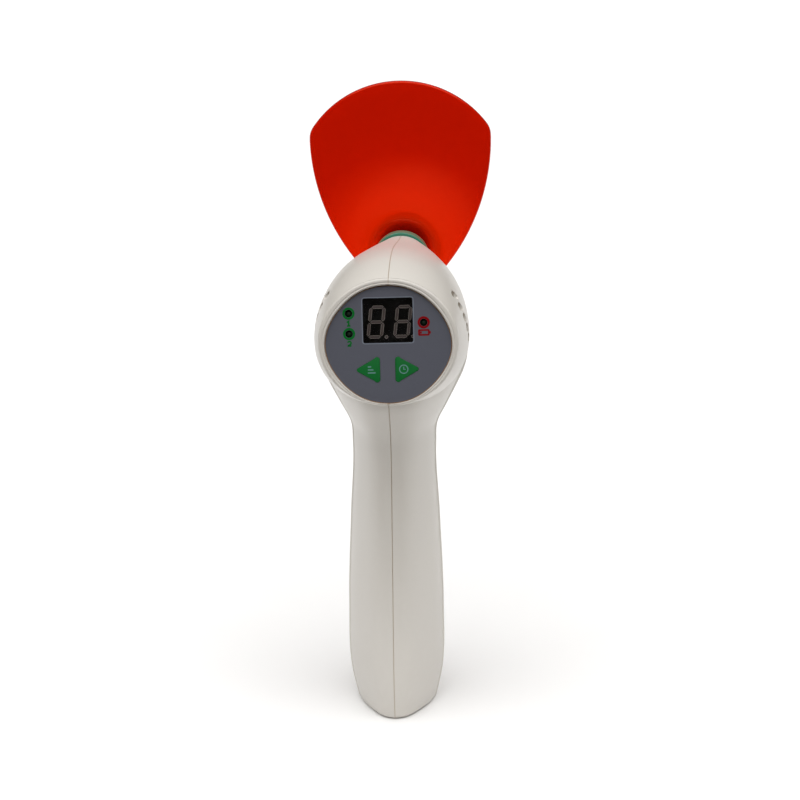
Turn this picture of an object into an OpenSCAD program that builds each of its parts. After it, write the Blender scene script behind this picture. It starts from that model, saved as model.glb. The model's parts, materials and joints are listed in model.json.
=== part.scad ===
// Cordless dental curing light, pistol form. Millimetres.
// +X is the user's right, +Y points out of the nose, +Z is up.
// The origin is the centre of the flat face under the grip.

/* [Housing] */
// Width of the head at its widest
head_w = 44.8; // [44.4:0.1:45.2]
// Width of the grip at its widest
grip_w = 29; // [28.8:0.1:30]
// Thickness of the housing wall
wall = 2; // [1.8:0.1:2.1]
// Height of the nose axis above the base face
nose_z = 125.2; // [124.8:0.1:125.6]

/* [Control panel] */
// Width of the oval panel
panel_w = 35.8; // [35.6:0.1:36]
// Height of the oval panel
panel_h = 32.8; // [32.6:0.1:33]
// How far the panel leans back
panel_tilt = 14.5; // [13.5:0.5:15.5]
// Turn of the printed layout in the panel's plane
layout_turn = 1.3; // [0:0.1:1.5]
// Width of the two-digit display module
display_w = 15; // [14.8:0.1:15]
// Height of the two-digit display module
display_h = 14; // [13.8:0.1:14]
// Travel of each key
key_travel = 0.4; // [0.2:0.1:0.4]

/* [Light guide and shield] */
// Diameter of the fibre rod
guide_d = 8; // [7:0.5:8]
// Angle that the rod turns down through
guide_bend = 60; // [45:5:65]
// Radius of the rod's bend, to its axis
guide_bend_r = 20; // [18:1:22]
// Length of the straight rod past the bend
guide_tip_len = 13; // [13:1:16]
// Thickness of the shield
shield_t = 2.2; // [1.8:0.1:2.6]

/* [Battery] */
// Diameter of the lithium cell with its wrap
cell_d = 18.2; // [18:0.1:18.4]
// Length of the lithium cell
cell_l = 65; // [64:0.5:66]

/* [Trigger] */
// Travel of the trigger button
trigger_travel = 2.5; // [1.5:0.5:2.5]

/* [Hidden] */
$fn = 48;
e = 0.01;
gap = 0.1;

// Head stations: y, height of the widest line, half width, rise above it, drop below it
head_k = head_w / 44.8;
head_stations = [
    [-32, 118, 16.5, 15, 15],
    [-23, 118, 19.9 * head_k, 16.9, 18],
    [-15, 116.6, 21.5 * head_k, 20.9, 19],
    [-6, 115.6, 22.4 * head_k, 23.6, 19.5],
    [3, 115.8, 22.3 * head_k, 23.6, 19],
    [12, 117, 21.4 * head_k, 21.7, 18],
    [22, 118.8, 19.6 * head_k, 18.6, 16.6],
    [33, 121, 16.7 * head_k, 14.8, 14],
    [44, nose_z - 1.8, 13.1 * head_k, 10.9, 11.3],
    [55, nose_z, 8.6, 7.9, 8.4]
];
head_upper_power = 2;
head_lower_power = 2.1;

// Grip stations: z, middle in y, half width, rear depth, front depth, half width of the rear flat
grip_k = grip_w / 29;
grip_stations = [
    [0, 0, 11.7 * grip_k, 16.1, 16.5, 3.5],
    [10, 0, 13.9 * grip_k, 18.5, 18, 4.8],
    [32, 0.5, 14.5 * grip_k, 19, 18, 5.2],
    [60, 1.5, 13.5 * grip_k, 18.8, 17.5, 5.2],
    [82, 2, 12.6 * grip_k, 18.8, 17.5, 5.2],
    [88, 1.8, 13, 19.6, 18, 5.4],
    [94, 1, 15.8, 21.8, 20, 6],
    [100, 0, 18.7, 24.6, 22, 7],
    [105, 0, 21, 25.8, 23, 8.5],
    [110, 0, 22.2, 25.5, 24, 10],
    [114, 0, 22.2, 25, 24, 11]
];
facet_power = 9;
rear_facet_start = 0.14;
front_facet_start = 0.35;
front_flat_extra = 1.5;

// Panel frame: the middle of the panel's face, and depths behind it
panel_mid = [0, -23, 118];
rim_rise = 1;
shoulder = 0.73;
crown = 0.17;
lip_w = 1.4;
overlay_t = 0.5;
bezel_t = 2;
board_front = 8;
board_t = 1.2;
display_mid = [0, 6.8];
window_size = [14.1, 12.6];
digit_size = [4.7, 9.3];
digit_slant = 7;
digit_mids = [[-3.3, 6.4], [4.2, 6.4]];
segment_w = 0.95;
mode_led_mids = [[-11.05, 8.95], [-11, 3.2]];
low_led_mid = [10.1, 6];
led_hole_d = 2.3;
key_mid_y = -7.05;
key_len = 6.5;
key_half_h = 3.55;
key_round = 0.8;
key_x = [-2.5, 1.85];
key_rise = 0.3;
key_flange_t = 0.8;
key_flange_drop = 0.3;
switch_floor = 1.8;
board_rx = 15.8;
board_ry = 14.9;
board_screw_mids = [[-13, -4.2], [13, -4.2]];

// Housing details
seam = 0.05;
cavity_end_y = 45;
spigot_r = 6.8;
collar_flange_r = 7.9;
collar_flange_y = [43.2, 44.9];
// The clamping ribs stop this far under the nose axis, over the leads
rib_gap_drop = 9.6;
// Each housing screw: y, z, and the x of the seat under its head
screws = [[13, 11, 6.2], [12.8, 69, 7], [26, 109.6, 10.6], [11, 102.6, 13.6]];
screw_head_r = 2.1;
screw_r = 1.1;
screw_tip_x = -6;
boss_r = 3;
vent_mids = [[-8.6, 129], [-9.2, 125.8], [-9, 122.6], [-8.2, 119.4], [-7, 116.2]];
vent_r = 0.75;
scoop_r = 1.25;

// Nose, light engine and guide, along the nose axis
collar_r = 8.8;
collar_y = [55.3, 60];
bore_r = 5.55;
ferrule_r = 5.5;
ferrule_y = [46, 60.4];
rod_r = guide_d / 2;
// The straight ends are ground a hair under the bend's radius and start inside the bend
end_r = rod_r - 0.02;
end_overlap = 0.5;
rod_y = [47, 92];
shield_y = 71;
hub_r = 10;
hub_depth = 7;
hub_tube_y = 86;
bush_r = rod_r + 1.2;
sink_y = [10, 32.5];
sink_r = 8.6;
engine_board_t = 1.6;

// Shield outline, from the nose axis: one wide arc on top, two long side arcs, round corners
shield_top = 54.45;
shield_corner_r = 6.5;
shield_corner = [22.5, 36.5];
shield_side_r = 66;
// Turn of the outline against the upright, as the bush holds it at rest
shield_lean = 1.2;

// Grip contents
cell_z = 9;
tab_t = 0.3;
plate_t = 2.4;
tongue_z = [0.9, 1.7];
tongue_w = 0.8;
pad_y = 7;
trigger_z = 86;
trigger_half_w = 5;
trigger_half_h = 9;
trigger_lip = 1.2;
trigger_front_y = 24;
trigger_flange_y = [15.6, 17];
trigger_board_y = [8, 9.2];
trigger_switch_drop = 3.5;
trigger_spring_rise = 5;
spring_pocket = 2.5;
lead_r = 0.55;
lead_sides = 8;

// ---- Curves through stations ----

function station(t, x, i = 0) = (i >= len(t) - 2 || x < t[i + 1][0]) ? i : station(t, x, i + 1);
function slope(t, i, k) = (t[i + 1][k] - t[i][k]) / (t[i + 1][0] - t[i][0]);
function slope_at(t, i, k) =
    i == 0 ? slope(t, 0, k) :
    i == len(t) - 1 ? slope(t, i - 1, k) :
    let (before = t[i][0] - t[i - 1][0], after = t[i + 1][0] - t[i][0])
    (slope(t, i - 1, k) * after + slope(t, i, k) * before) / (before + after);
// Column k of station list t, read at x along a smooth cubic
function smooth(t, x, k) =
    let (i = station(t, x), h = t[i + 1][0] - t[i][0], s = (x - t[i][0]) / h)
    (2 * s ^ 3 - 3 * s ^ 2 + 1) * t[i][k] + (s ^ 3 - 2 * s ^ 2 + s) * h * slope_at(t, i, k)
    + (3 * s ^ 2 - 2 * s ^ 3) * t[i + 1][k] + (s ^ 3 - s ^ 2) * h * slope_at(t, i + 1, k);
function steps(a, b, n) = [for (i = [0 : n]) a + (b - a) * i / n];
function signed_power(v, p) = sign(v) * abs(v) ^ p;

// Rings of points round the head at y, and round the grip at z, each inset by a wall
function head_ring(y, inset, n) = [
    for (i = [0 : n - 1])
        let (a = 360 * i / n, up = sin(a) > 0, p = 2 / (up ? head_upper_power : head_lower_power))
        [
            (smooth(head_stations, y, 2) - inset) * signed_power(cos(a), p),
            y,
            smooth(head_stations, y, 1)
            + (smooth(head_stations, y, up ? 3 : 4) - inset) * signed_power(sin(a), p)
        ]
];
function facet_radius(c, s, w, d, flat, side) =
    let (det = flat * side - w * d, a = (side - d) / det, b = (flat - w) / det)
    ((abs(c) / w) ^ facet_power + (abs(s) / d) ^ facet_power
    + (abs(c) * a + abs(s) * b) ^ facet_power) ^ (-1 / facet_power);
function grip_outline(z, inset, n) = [
    for (i = [0 : n - 1])
        let (
            a = 360 * i / n,
            rear = sin(a) < 0,
            w = smooth(grip_stations, z, 2) - inset,
            d = smooth(grip_stations, z, rear ? 3 : 4) - inset,
            flat = smooth(grip_stations, z, 5) - inset / 2 + (rear ? 0 : front_flat_extra),
            side = d * (rear ? rear_facet_start : front_facet_start),
            r = facet_radius(cos(a), sin(a), w, d, flat, side)
        )
        [r * cos(a), smooth(grip_stations, z, 1) + r * sin(a)]
];
function grip_ring(z, inset, n) = [for (p = grip_outline(z, inset, n)) [p[0], p[1], z]];

// ---- General shapes ----

// Solid through rings of equal count, closed by flat ends
module loft(rings, flip = false) {
    n = len(rings[0]);
    m = len(rings);
    points = [for (ring = rings) for (p = ring) p];
    sides = [
        for (j = [0 : m - 2]) for (i = [0 : n - 1])
            let (a = j * n + i, b = j * n + (i + 1) % n) [a, b, b + n, a + n]
    ];
    ends = [[for (i = [n - 1 : -1 : 0]) i], [for (i = [0 : n - 1]) (m - 1) * n + i]];
    faces = concat(sides, ends);
    polyhedron(points, flip ? faces : [for (f = faces) [for (i = [len(f) - 1 : -1 : 0]) f[i]]]);
}
module head_loft(inset, y_from, y_to, count, n) {
    loft([for (y = steps(y_from, y_to, count)) head_ring(y, inset, n)], true);
}
module grip_loft(inset, z_list, n) {
    loft([for (z = z_list) grip_ring(z, inset, n)]);
}
// Places children in the panel's plane, +Z out of its face
module on_panel() {
    translate(panel_mid) rotate([90 - panel_tilt, 0, 0]) children();
}
module on_layout() {
    on_panel() rotate([0, 0, layout_turn]) children();
}
// Places children on the nose axis at y, +Z pointing along +Y
module on_nose(y) {
    translate([0, y, nose_z]) rotate([-90, 0, 0]) children();
}
// Oval of the panel: an ellipse drawn in a little towards its shoulders
function oval_radius(a, rx, ry) =
    1 / norm([cos(a) / rx, sin(a) / ry]) - shoulder * (sin(2 * a) * cos(a)) ^ 2 + crown * sin(a) ^ 2;
function oval_points(rx, ry, n = 72) =
    [for (i = [0 : n - 1]) oval_radius(360 * i / n, rx, ry) * [cos(360 * i / n), sin(360 * i / n)]];
module oval(rx, ry, z_from, z_to) {
    translate([0, 0, z_from]) linear_extrude(z_to - z_from) polygon(oval_points(rx, ry));
}
module ring(r_out, r_in, h) {
    difference() {
        cylinder(r = r_out, h = h);
        translate([0, 0, -1]) cylinder(r = r_in, h = h + 2);
    }
}
// Round wire through points, each ring square to its neighbours' direction
function unit(v) = v / norm(v);
function lead_way(p, i) = unit(p[min(i + 1, len(p) - 1)] - p[max(i - 1, 0)]);
// A direction square to the wire at each point, carried along it without twist
function lead_side(p, i) =
    let (way = lead_way(p, i), last = i == 0 ? cross(way, [1, 0, 0]) : lead_side(p, i - 1))
    unit(last - (last * way) * way);
function lead_ring(p, i) =
    let (u = lead_side(p, i), v = cross(lead_way(p, i), u))
    [for (j = [0 : lead_sides - 1])
        p[i] + lead_r * (cos(360 * j / lead_sides) * u + sin(360 * j / lead_sides) * v)];
module lead(points) {
    loft([for (i = [0 : len(points) - 1]) lead_ring(points, i)]);
}
function arc(mid, r, from, to, n) = [for (a = steps(from, to, n)) mid + r * [cos(a), sin(a)]];

// ---- Housing ----

outer_z = concat(steps(0, 10, 4), steps(14, 82, 9), steps(84, 114, 15));
inner_z = concat([-1], steps(3.6, 82, 7), steps(85, 112, 9));

module housing_skin() {
    difference() {
        union() {
            head_loft(0, -32, 55, 25, 40);
            grip_loft(0, outer_z, 40);
        }
        on_panel() translate([-40, -40, rim_rise]) cube([80, 100, 20]);
    }
}
module housing_cavity() {
    head_loft(wall, -20, cavity_end_y, 10, 28);
    grip_loft(wall, inner_z, 28);
}
// Steps in the rim that hold the overlay and bezel, and the way in behind them
module panel_seat() {
    on_panel() {
        oval(panel_w / 2 + gap, panel_h / 2 + gap, -overlay_t - bezel_t - gap, 5);
        oval(panel_w / 2 - lip_w, panel_h / 2 - lip_w, -12, 0);
    }
}
// Round vent with a scoop running forward and down from it, through the side wall
module vent(mid, side) {
    height = max(mid[1] - smooth(head_stations, mid[0], 1), 0);
    x = side * smooth(head_stations, mid[0], 2) * sqrt(1 - (height / smooth(head_stations, mid[0], 3)) ^ 2);
    translate([x - side * 4, mid[0], mid[1]]) rotate([0, side * 90, 0]) cylinder(r = vent_r, h = 8, $fn = 16);
    hull() {
        translate([x + side * 0.6, mid[0], mid[1]]) sphere(scoop_r, $fn = 13);
        translate([x + side * 0.9, mid[0] + 1.6, mid[1] - 0.7]) sphere(scoop_r * 0.8, $fn = 13);
    }
}
// Way through for the button, with a pocket behind it for its flange
module trigger_hole(extra) {
    translate([0, 10, trigger_z]) {
        stadium(trigger_half_w + extra, trigger_half_h + extra, 20);
        stadium(trigger_half_w + trigger_lip + extra, trigger_half_h + trigger_lip + extra,
            trigger_flange_y[1] + gap - 10);
    }
}
// Boss for one screw, tied to the wall by a rib
module boss(mid, side) {
    intersection() {
        union() {
            translate([0, mid[0], mid[1]]) rotate([0, side * 90, 0]) cylinder(r = boss_r, h = 20, $fn = 24);
            hull() {
                for (v = [0, 4]) translate([0, mid[0], mid[1] + v]) rotate([0, side * 90, 0])
                    cylinder(r = 0.6, h = 20, $fn = 8);
            }
        }
        housing_skin_plain();
    }
}
module housing_skin_plain() {
    union() {
        head_loft(0.8, -22, 54, 10, 28);
        grip_loft(0.8, inner_z, 28);
    }
}
// Ribs that clamp the heat sink
module sink_ribs(side) {
    for (y = [14, 28]) difference() {
        intersection() {
            translate([side > 0 ? 0 : -30, y - 0.7, 100]) cube([30, 1.4, 45]);
            housing_skin_plain();
        }
        on_nose(y - 2) cylinder(r = sink_r + gap, h = 4);
        translate([-30, y - 2, 90]) cube([60, 4, nose_z - 90 - rib_gap_drop]);
    }
}
// side is -1 for the left half and 1 for the right half
module shell(side) {
    difference() {
        union() {
            difference() {
                housing_skin();
                housing_cavity();
            }
            for (s = screws) boss([s[0], s[1]], side);
            sink_ribs(side);
        }
        panel_seat();
        for (mid = vent_mids) vent(mid, side);
        trigger_hole(0.3);
        on_nose(cavity_end_y - 5) cylinder(r = spigot_r + 0.05, h = 20, $fn = 48);
        on_nose(collar_flange_y[0] - gap) cylinder(
            r = collar_flange_r + gap, h = collar_flange_y[1] - collar_flange_y[0] + 2 * gap, $fn = 48);
        base_plate_blank(gap);
        for (s = screws) translate([0, s[0], s[1]]) rotate([0, 90, 0]) {
            translate([0, 0, screw_tip_x - 0.5]) cylinder(r = screw_r + gap, h = 30, $fn = 20);
            translate([0, 0, s[2] - gap]) cylinder(r = screw_head_r + gap, h = 20, $fn = 24);
        }
        translate([side > 0 ? -60 + seam : -seam, -60, -5]) cube([60, 140, 160]);
    }
}
module left_shell() {
    color("#d8d3ca") shell(-1);
}
module right_shell() {
    color("#d8d3ca") shell(1);
}
module screw(head_x) {
    rotate([0, 90, 0]) {
        translate([0, 0, screw_tip_x]) cylinder(r = screw_r, h = head_x - screw_tip_x);
        difference() {
            translate([0, 0, head_x]) cylinder(r = screw_head_r, h = 1.5);
            translate([0, 0, head_x + 0.6]) cylinder(r = 1.1, h = 2, $fn = 6);
        }
    }
}
module shell_screws() {
    color("silver") for (s = screws) translate([0, s[0], s[1]]) screw(s[2]);
}
// Floor of the grip: a plate with a tongue that the two halves close round
module base_plate_blank(extra) {
    translate([0, 0, -extra]) linear_extrude(plate_t + 2 * extra)
        polygon(grip_outline(1, wall - 0.2 - extra, 48));
    translate([0, 0, tongue_z[0] - extra]) linear_extrude(tongue_z[1] - tongue_z[0] + 2 * extra)
        polygon(grip_outline(1, wall - 0.2 - tongue_w - extra, 48));
}
module base_plate() {
    color("#c9c4ba") difference() {
        base_plate_blank(0);
        for (s = [-1, 1]) translate([0, s * pad_y, -1]) cylinder(r = 2.2, h = plate_t + 2);
    }
}
module charge_contacts() {
    color("gold") for (s = [-1, 1]) translate([0, s * pad_y, 0]) {
        translate([0, 0, 0.3]) cylinder(r = 2.15, h = plate_t - 0.3);
        translate([0, 0, plate_t]) cylinder(r = 3, h = 0.5);
        translate([0, 0, plate_t + 0.5]) cylinder(r = 0.8, h = 1.6);
    }
}

// ---- Control panel ----

module key_outline(side, extra) {
    x0 = key_x[side > 0 ? 1 : 0];
    r = key_round + extra;
    hull() {
        for (s = [-1, 1]) translate([x0 + side * key_round, key_mid_y + s * (key_half_h - key_round)])
            circle(r, $fn = 24);
        translate([x0 + side * (key_len - key_round), key_mid_y]) circle(r, $fn = 24);
    }
}
module panel_openings(window, extra) {
    translate([display_mid[0] - window[0] / 2, display_mid[1] - window[1] / 2]) square(window);
    for (s = [-1, 1]) key_outline(s, extra);
}
module panel_overlay() {
    color("#4c4e54") difference() {
        on_panel() oval(panel_w / 2, panel_h / 2, -overlay_t, 0);
        on_layout() translate([0, 0, -2]) {
            linear_extrude(4) panel_openings(window_size, 0.2);
            for (mid = concat(mode_led_mids, [low_led_mid])) translate(mid) cylinder(d = led_hole_d, h = 4);
        }
    }
}
module panel_bezel() {
    back = -overlay_t - bezel_t;
    color("#3a3b3f") difference() {
        union() {
            on_panel() oval(panel_w / 2 - 0.05, panel_h / 2 - 0.05, back, -overlay_t);
            on_layout() for (mid = board_screw_mids) translate([mid[0], mid[1], -board_front])
                cylinder(r = 1.8, h = board_front + back + e);
        }
        on_layout() {
            translate([0, 0, -5]) linear_extrude(5)
                panel_openings([display_w + 0.2, display_h + 0.2], 0.2);
            for (mid = concat(mode_led_mids, [low_led_mid])) translate([mid[0], mid[1], -5])
                cylinder(d = 3.3, h = 6);
            for (mid = board_screw_mids) translate([mid[0], mid[1], -board_front - 1])
                cylinder(r = 0.8, h = 5.5);
        }
    }
}
module display_window() {
    size = window_size - [gap, gap];
    color("#202024", 0.5) on_layout() translate([0, 0, -overlay_t])
        linear_extrude(overlay_t) translate(display_mid - size / 2) square(size);
}
module key(side) {
    flange_top = -overlay_t - bezel_t - key_flange_drop;
    on_layout() {
        translate([0, 0, flange_top - e]) linear_extrude(key_rise - flange_top + e) key_outline(side, 0);
        translate([0, 0, flange_top - key_flange_t]) linear_extrude(key_flange_t) key_outline(side, 0.6);
    }
}
module mode_key() {
    color("#0a7a34") key(-1);
}
module time_key() {
    color("#0a7a34") key(1);
}
function key_switch_x(side) = side * 2.6 + key_x[side > 0 ? 1 : 0];
module key_switch(side) {
    h = 3.4;
    on_layout() translate([key_switch_x(side), key_mid_y, -board_front]) difference() {
        translate([-2.5, -2.5, 0]) cube([5, 5, h]);
        translate([0, 0, switch_floor]) cylinder(r = 1.6, h = h);
    }
}
module key_plunger(side) {
    flange_back = -overlay_t - bezel_t - key_flange_drop - key_flange_t;
    foot = switch_floor + key_travel + 0.1;
    on_layout() translate([key_switch_x(side), key_mid_y, foot - board_front])
        cylinder(r = 1.5, h = board_front + flange_back - foot);
}
module mode_switch() {
    color("#1c1c1e") key_switch(-1);
}
module time_switch() {
    color("#1c1c1e") key_switch(1);
}
module mode_plunger() {
    color("#303034") key_plunger(-1);
}
module time_plunger() {
    color("#303034") key_plunger(1);
}
module display_housing() {
    color("#101012") on_layout()
        translate([display_mid[0] - display_w / 2, display_mid[1] - display_h / 2, -board_front])
            cube([display_w, display_h, board_front - overlay_t - 0.3]);
}
// One bar of a digit, pointed at both ends
module bar(length) {
    half = segment_w / 2;
    polygon([[-length / 2, 0], [half - length / 2, half], [length / 2 - half, half],
        [length / 2, 0], [length / 2 - half, -half], [half - length / 2, -half]]);
}
module digit() {
    w = digit_size[0] - segment_w;
    h = (digit_size[1] - segment_w) / 2;
    slot = 0.16;
    multmatrix([[1, tan(digit_slant), 0, 0], [0, 1, 0, 0], [0, 0, 1, 0], [0, 0, 0, 1]])
        linear_extrude(0.1) {
            for (v = [-1, 0, 1]) translate([0, v * h]) bar(w - slot);
            for (s = [-1, 1]) for (v = [-0.5, 0.5]) translate([s * w / 2, v * h]) rotate(90) bar(h - slot);
        }
}
module display_digits() {
    color("#8a8078") on_layout() for (mid = digit_mids) translate([mid[0], mid[1], -overlay_t - 0.3]) {
        digit();
        translate([2.8, 0.4 - digit_size[1] / 2, 0]) cylinder(r = 0.45, h = 0.1);
    }
}
module panel_led(mid) {
    tip = -overlay_t - 0.2;
    on_layout() translate([mid[0], mid[1], 0]) {
        translate([0, 0, tip - 3]) cylinder(r = 1.5, h = 1.6);
        translate([0, 0, tip - 1.4]) cylinder(r1 = 1.5, r2 = 1, h = 1.4);
        for (s = [-1, 1]) translate([s * 0.7, 0, -board_front])
            cylinder(r = 0.25, h = board_front + tip - 3 + e, $fn = 16);
    }
}
module mode1_led() {
    color("#1d3a24") panel_led(mode_led_mids[0]);
}
module mode2_led() {
    color("#1d3a24") panel_led(mode_led_mids[1]);
}
module low_battery_led() {
    color("#3a1d1d") panel_led(low_led_mid);
}
module control_board() {
    color("#1f6b3a") difference() {
        on_panel() oval(board_rx, board_ry, -board_front - board_t, -board_front);
        on_layout() for (mid = board_screw_mids) translate([mid[0], mid[1], -board_front - 2])
            cylinder(r = 0.9, h = 3);
    }
}
module board_screws() {
    back = -board_front - board_t;
    color("silver") on_layout() for (mid = board_screw_mids) translate([mid[0], mid[1], 0]) {
        translate([0, 0, back]) cylinder(r = 0.7, h = 4.4);
        translate([0, 0, back - 1]) cylinder(r = 1.6, h = 1);
    }
}
module buzzer() {
    color("#161616") on_layout() translate([5.5, -4, -board_front - board_t - 4]) difference() {
        cylinder(r = 4.5, h = 4);
        translate([0, 0, -1]) cylinder(r = 0.8, h = 2.5);
    }
}
module control_chip() {
    color("#141416") on_layout() translate([-9, -4, -board_front - board_t - 1.6]) {
        cube([7, 7, 1.6]);
        for (i = [0 : 4]) for (s = [0, 1])
            translate([0.7 + i * 1.3, s * 7.9 - 0.9, 1.1]) cube([0.5, 0.9, 0.5]);
    }
}

// ---- Trigger ----

module stadium(half_w, half_h, length) {
    rotate([-90, 0, 0]) linear_extrude(length) hull() {
        for (v = [-1, 1]) translate([0, v * (half_h - half_w)]) circle(half_w, $fn = 32);
    }
}
module trigger_button() {
    color("#b9b5ac") translate([0, 0, trigger_z]) difference() {
        union() {
            translate([0, trigger_flange_y[0], 0])
                stadium(trigger_half_w + trigger_lip, trigger_half_h + trigger_lip,
                    trigger_flange_y[1] - trigger_flange_y[0]);
            translate([0, trigger_flange_y[1] - e, 0])
                stadium(trigger_half_w, trigger_half_h, trigger_front_y - 1.2 - trigger_flange_y[1]);
            translate([0, trigger_front_y - 1.2 - 2 * e, 0]) hull() {
                stadium(trigger_half_w, trigger_half_h, 0.3);
                stadium(trigger_half_w - 1.3, trigger_half_h - 1.3, 1.2);
            }
        }
        translate([0, trigger_flange_y[0] - 1, trigger_spring_rise]) rotate([-90, 0, 0])
            cylinder(r = 2.4, h = 1 + spring_pocket);
        translate([0, trigger_front_y + 38, 0]) rotate([0, 90, 0]) cylinder(r = 39, h = 30, center = true);
    }
}
module trigger_spring() {
    coils = 7;
    wire_r = 0.25;
    from = trigger_board_y[1];
    length = trigger_flange_y[0] + spring_pocket - from;
    color("silver") translate([0, from, trigger_z + trigger_spring_rise]) rotate([-90, 0, 0])
        for (i = [0 : coils - 1]) translate([0, 0, wire_r + i * (length - 2 * wire_r) / (coils - 1)])
            rotate_extrude() translate([1.75, 0]) circle(r = wire_r);
}
module trigger_board() {
    color("#1f6b3a") translate([-7, trigger_board_y[0], trigger_z - 9])
        cube([14, trigger_board_y[1] - trigger_board_y[0], 17]);
}
module trigger_switch() {
    h = 3.4;
    color("#1c1c1e") translate([0, trigger_board_y[1], trigger_z - trigger_switch_drop]) difference() {
        translate([-3, 0, -3]) cube([6, h, 6]);
        translate([0, 0.15, 0]) rotate([-90, 0, 0]) cylinder(r = 1.85, h = h);
    }
}
module trigger_plunger() {
    from = trigger_board_y[1] + 0.25 + trigger_travel;
    color("#303034") translate([0, from, trigger_z - trigger_switch_drop]) rotate([-90, 0, 0])
        cylinder(r = 1.75, h = trigger_flange_y[0] - from);
}

// ---- Battery and charging ----

module battery_cell() {
    color("#2f6fb0") translate([0, 0, cell_z]) {
        difference() {
            cylinder(d = cell_d, h = cell_l);
            translate([0, 0, cell_l - 0.6]) ring(7.6, 4.2, 2);
        }
    }
}
module battery_tabs() {
    color("silver") for (z = [cell_z - tab_t, cell_z + cell_l])
        translate([-2.5, -4, z]) cube([5, 14.2, tab_t]);
}
module battery_pad() {
    color("#2a2a2c") translate([0, 0, cell_z - 2.2]) cylinder(r = 6.5, h = 1.9);
}
module charge_board() {
    color("#1f6b3a") translate([-6.5, 11, 17]) cube([13, 1, 45]);
}
module charge_parts() {
    color("#161616") {
        for (z = [24, 35]) translate([-3, 12, z]) cube([6, 1.2, 5]);
        translate([-4.5, 12, 46]) cube([9, 2, 6]);
        for (s = [-1, 1]) translate([s * 4 - 0.7, 12, 41.6]) cube([1.4, 0.8, 2.4]);
    }
}
// Routes of the leads, as one side of each pair
battery_route = [[0, 10.8, 74.85], [2.6, 10.9, 75.9], [5.2, 10, 75.4], [6.5, 8.6, 72.6], [6.6, 8.3, 69],
    [6.4, 8.5, 65.5], [5.4, 9.6, 62], [4.4, 10.35, 59], [4, 10.4, 56]];
battery_low_route = [[2.2, 9.4, 8.1], [4.6, 9, 8.3], [6.2, 8.3, 10], [6.3, 8.2, 13.5], [5.4, 9.6, 16.5],
    [4.6, 10.35, 19.5], [4.4, 10.4, 22]];
contact_route = [[0, 7, 5.1], [3, 7.8, 5.8], [6.2, 8.4, 7.2], [7.6, 7.6, 9.6], [7.8, 7.6, 13.4], [7, 9, 16.5],
    [6.2, 10.3, 19.5], [6, 10.4, 22]];
contact_far_route = [[0, -7, 5.1], [-3, -7.4, 6.2], [-7.6, -4, 6.6], [-8.8, 2, 6.6], [-8.2, 6.4, 7.4],
    [-7.8, 7.6, 9.8], [-7.8, 7.6, 13.4], [-6.8, 9.2, 16.8], [-5.6, 10.35, 19.5], [-5.4, 10.4, 22]];
trigger_route = [[2, 7.4, 80], [2, 6, 82], [2, 5, 88], [2, 2, 96], [2, -4, 102], [2, -8.6, 105],
    [2, -13, 106.8], [2, -16.15, 107.4]];
emitter_route = [[1.2, -12.3, 122.4], [1.2, -9, 121.2], [1.2, -5, 118.2], [1.2, 0, 115], [1.2, 10, 114.2],
    [1.2, 22, 114.4], [1.2, 30, 114.8], [1.2, 34.7, 116], [1.2, 35.1, 118]];
module battery_leads() {
    color("red") {
        lead(battery_route);
        lead(battery_low_route);
    }
}
module contact_leads() {
    color("black") {
        lead(contact_route);
        lead(contact_far_route);
    }
}
module trigger_leads() {
    color("white") for (s = [0, 1]) mirror([s, 0, 0]) lead(trigger_route);
}
module emitter_leads() {
    color("red") for (s = [0, 1]) mirror([s, 0, 0]) lead(emitter_route);
}

// ---- Light engine ----

module heat_sink() {
    length = sink_y[1] - sink_y[0];
    fins = 10;
    color("#b8bcc2") on_nose(sink_y[0]) difference() {
        cylinder(r = sink_r, h = length);
        for (i = [0 : fins - 1]) rotate([0, 0, 360 * (i + 0.5) / fins])
            translate([4.6, -0.8, -1]) cube([10, 1.6, length - 5]);
    }
}
module emitter_board() {
    color("#e8e8ea") on_nose(sink_y[1]) cylinder(r = 7.8, h = engine_board_t);
}
module emitter_led() {
    color("#f0e070") on_nose(sink_y[1] + engine_board_t) {
        translate([-2.5, -2.5, 0]) cube([5, 5, 0.9]);
        translate([0, 0, 0.9]) cylinder(r1 = 2.1, r2 = 1.3, h = 1.1);
    }
}
module reflector() {
    color("#d8dade") on_nose(sink_y[1] + engine_board_t) rotate_extrude() polygon(concat(
        [[4.2, 0], [4.8, 0], [6.6, 3.5], [6.6, 9]],
        [for (t = steps(1, 0, 10)) [3.7 + 2.4 * sqrt(t), 0.4 + 8.6 * t]]
    ));
}
module front_window() {
    color("#dfe8ee", 0.4) on_nose(sink_y[1] + engine_board_t + 9.3) cylinder(r = 5.5, h = 1);
}

// ---- Nose, guide and shield ----

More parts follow.
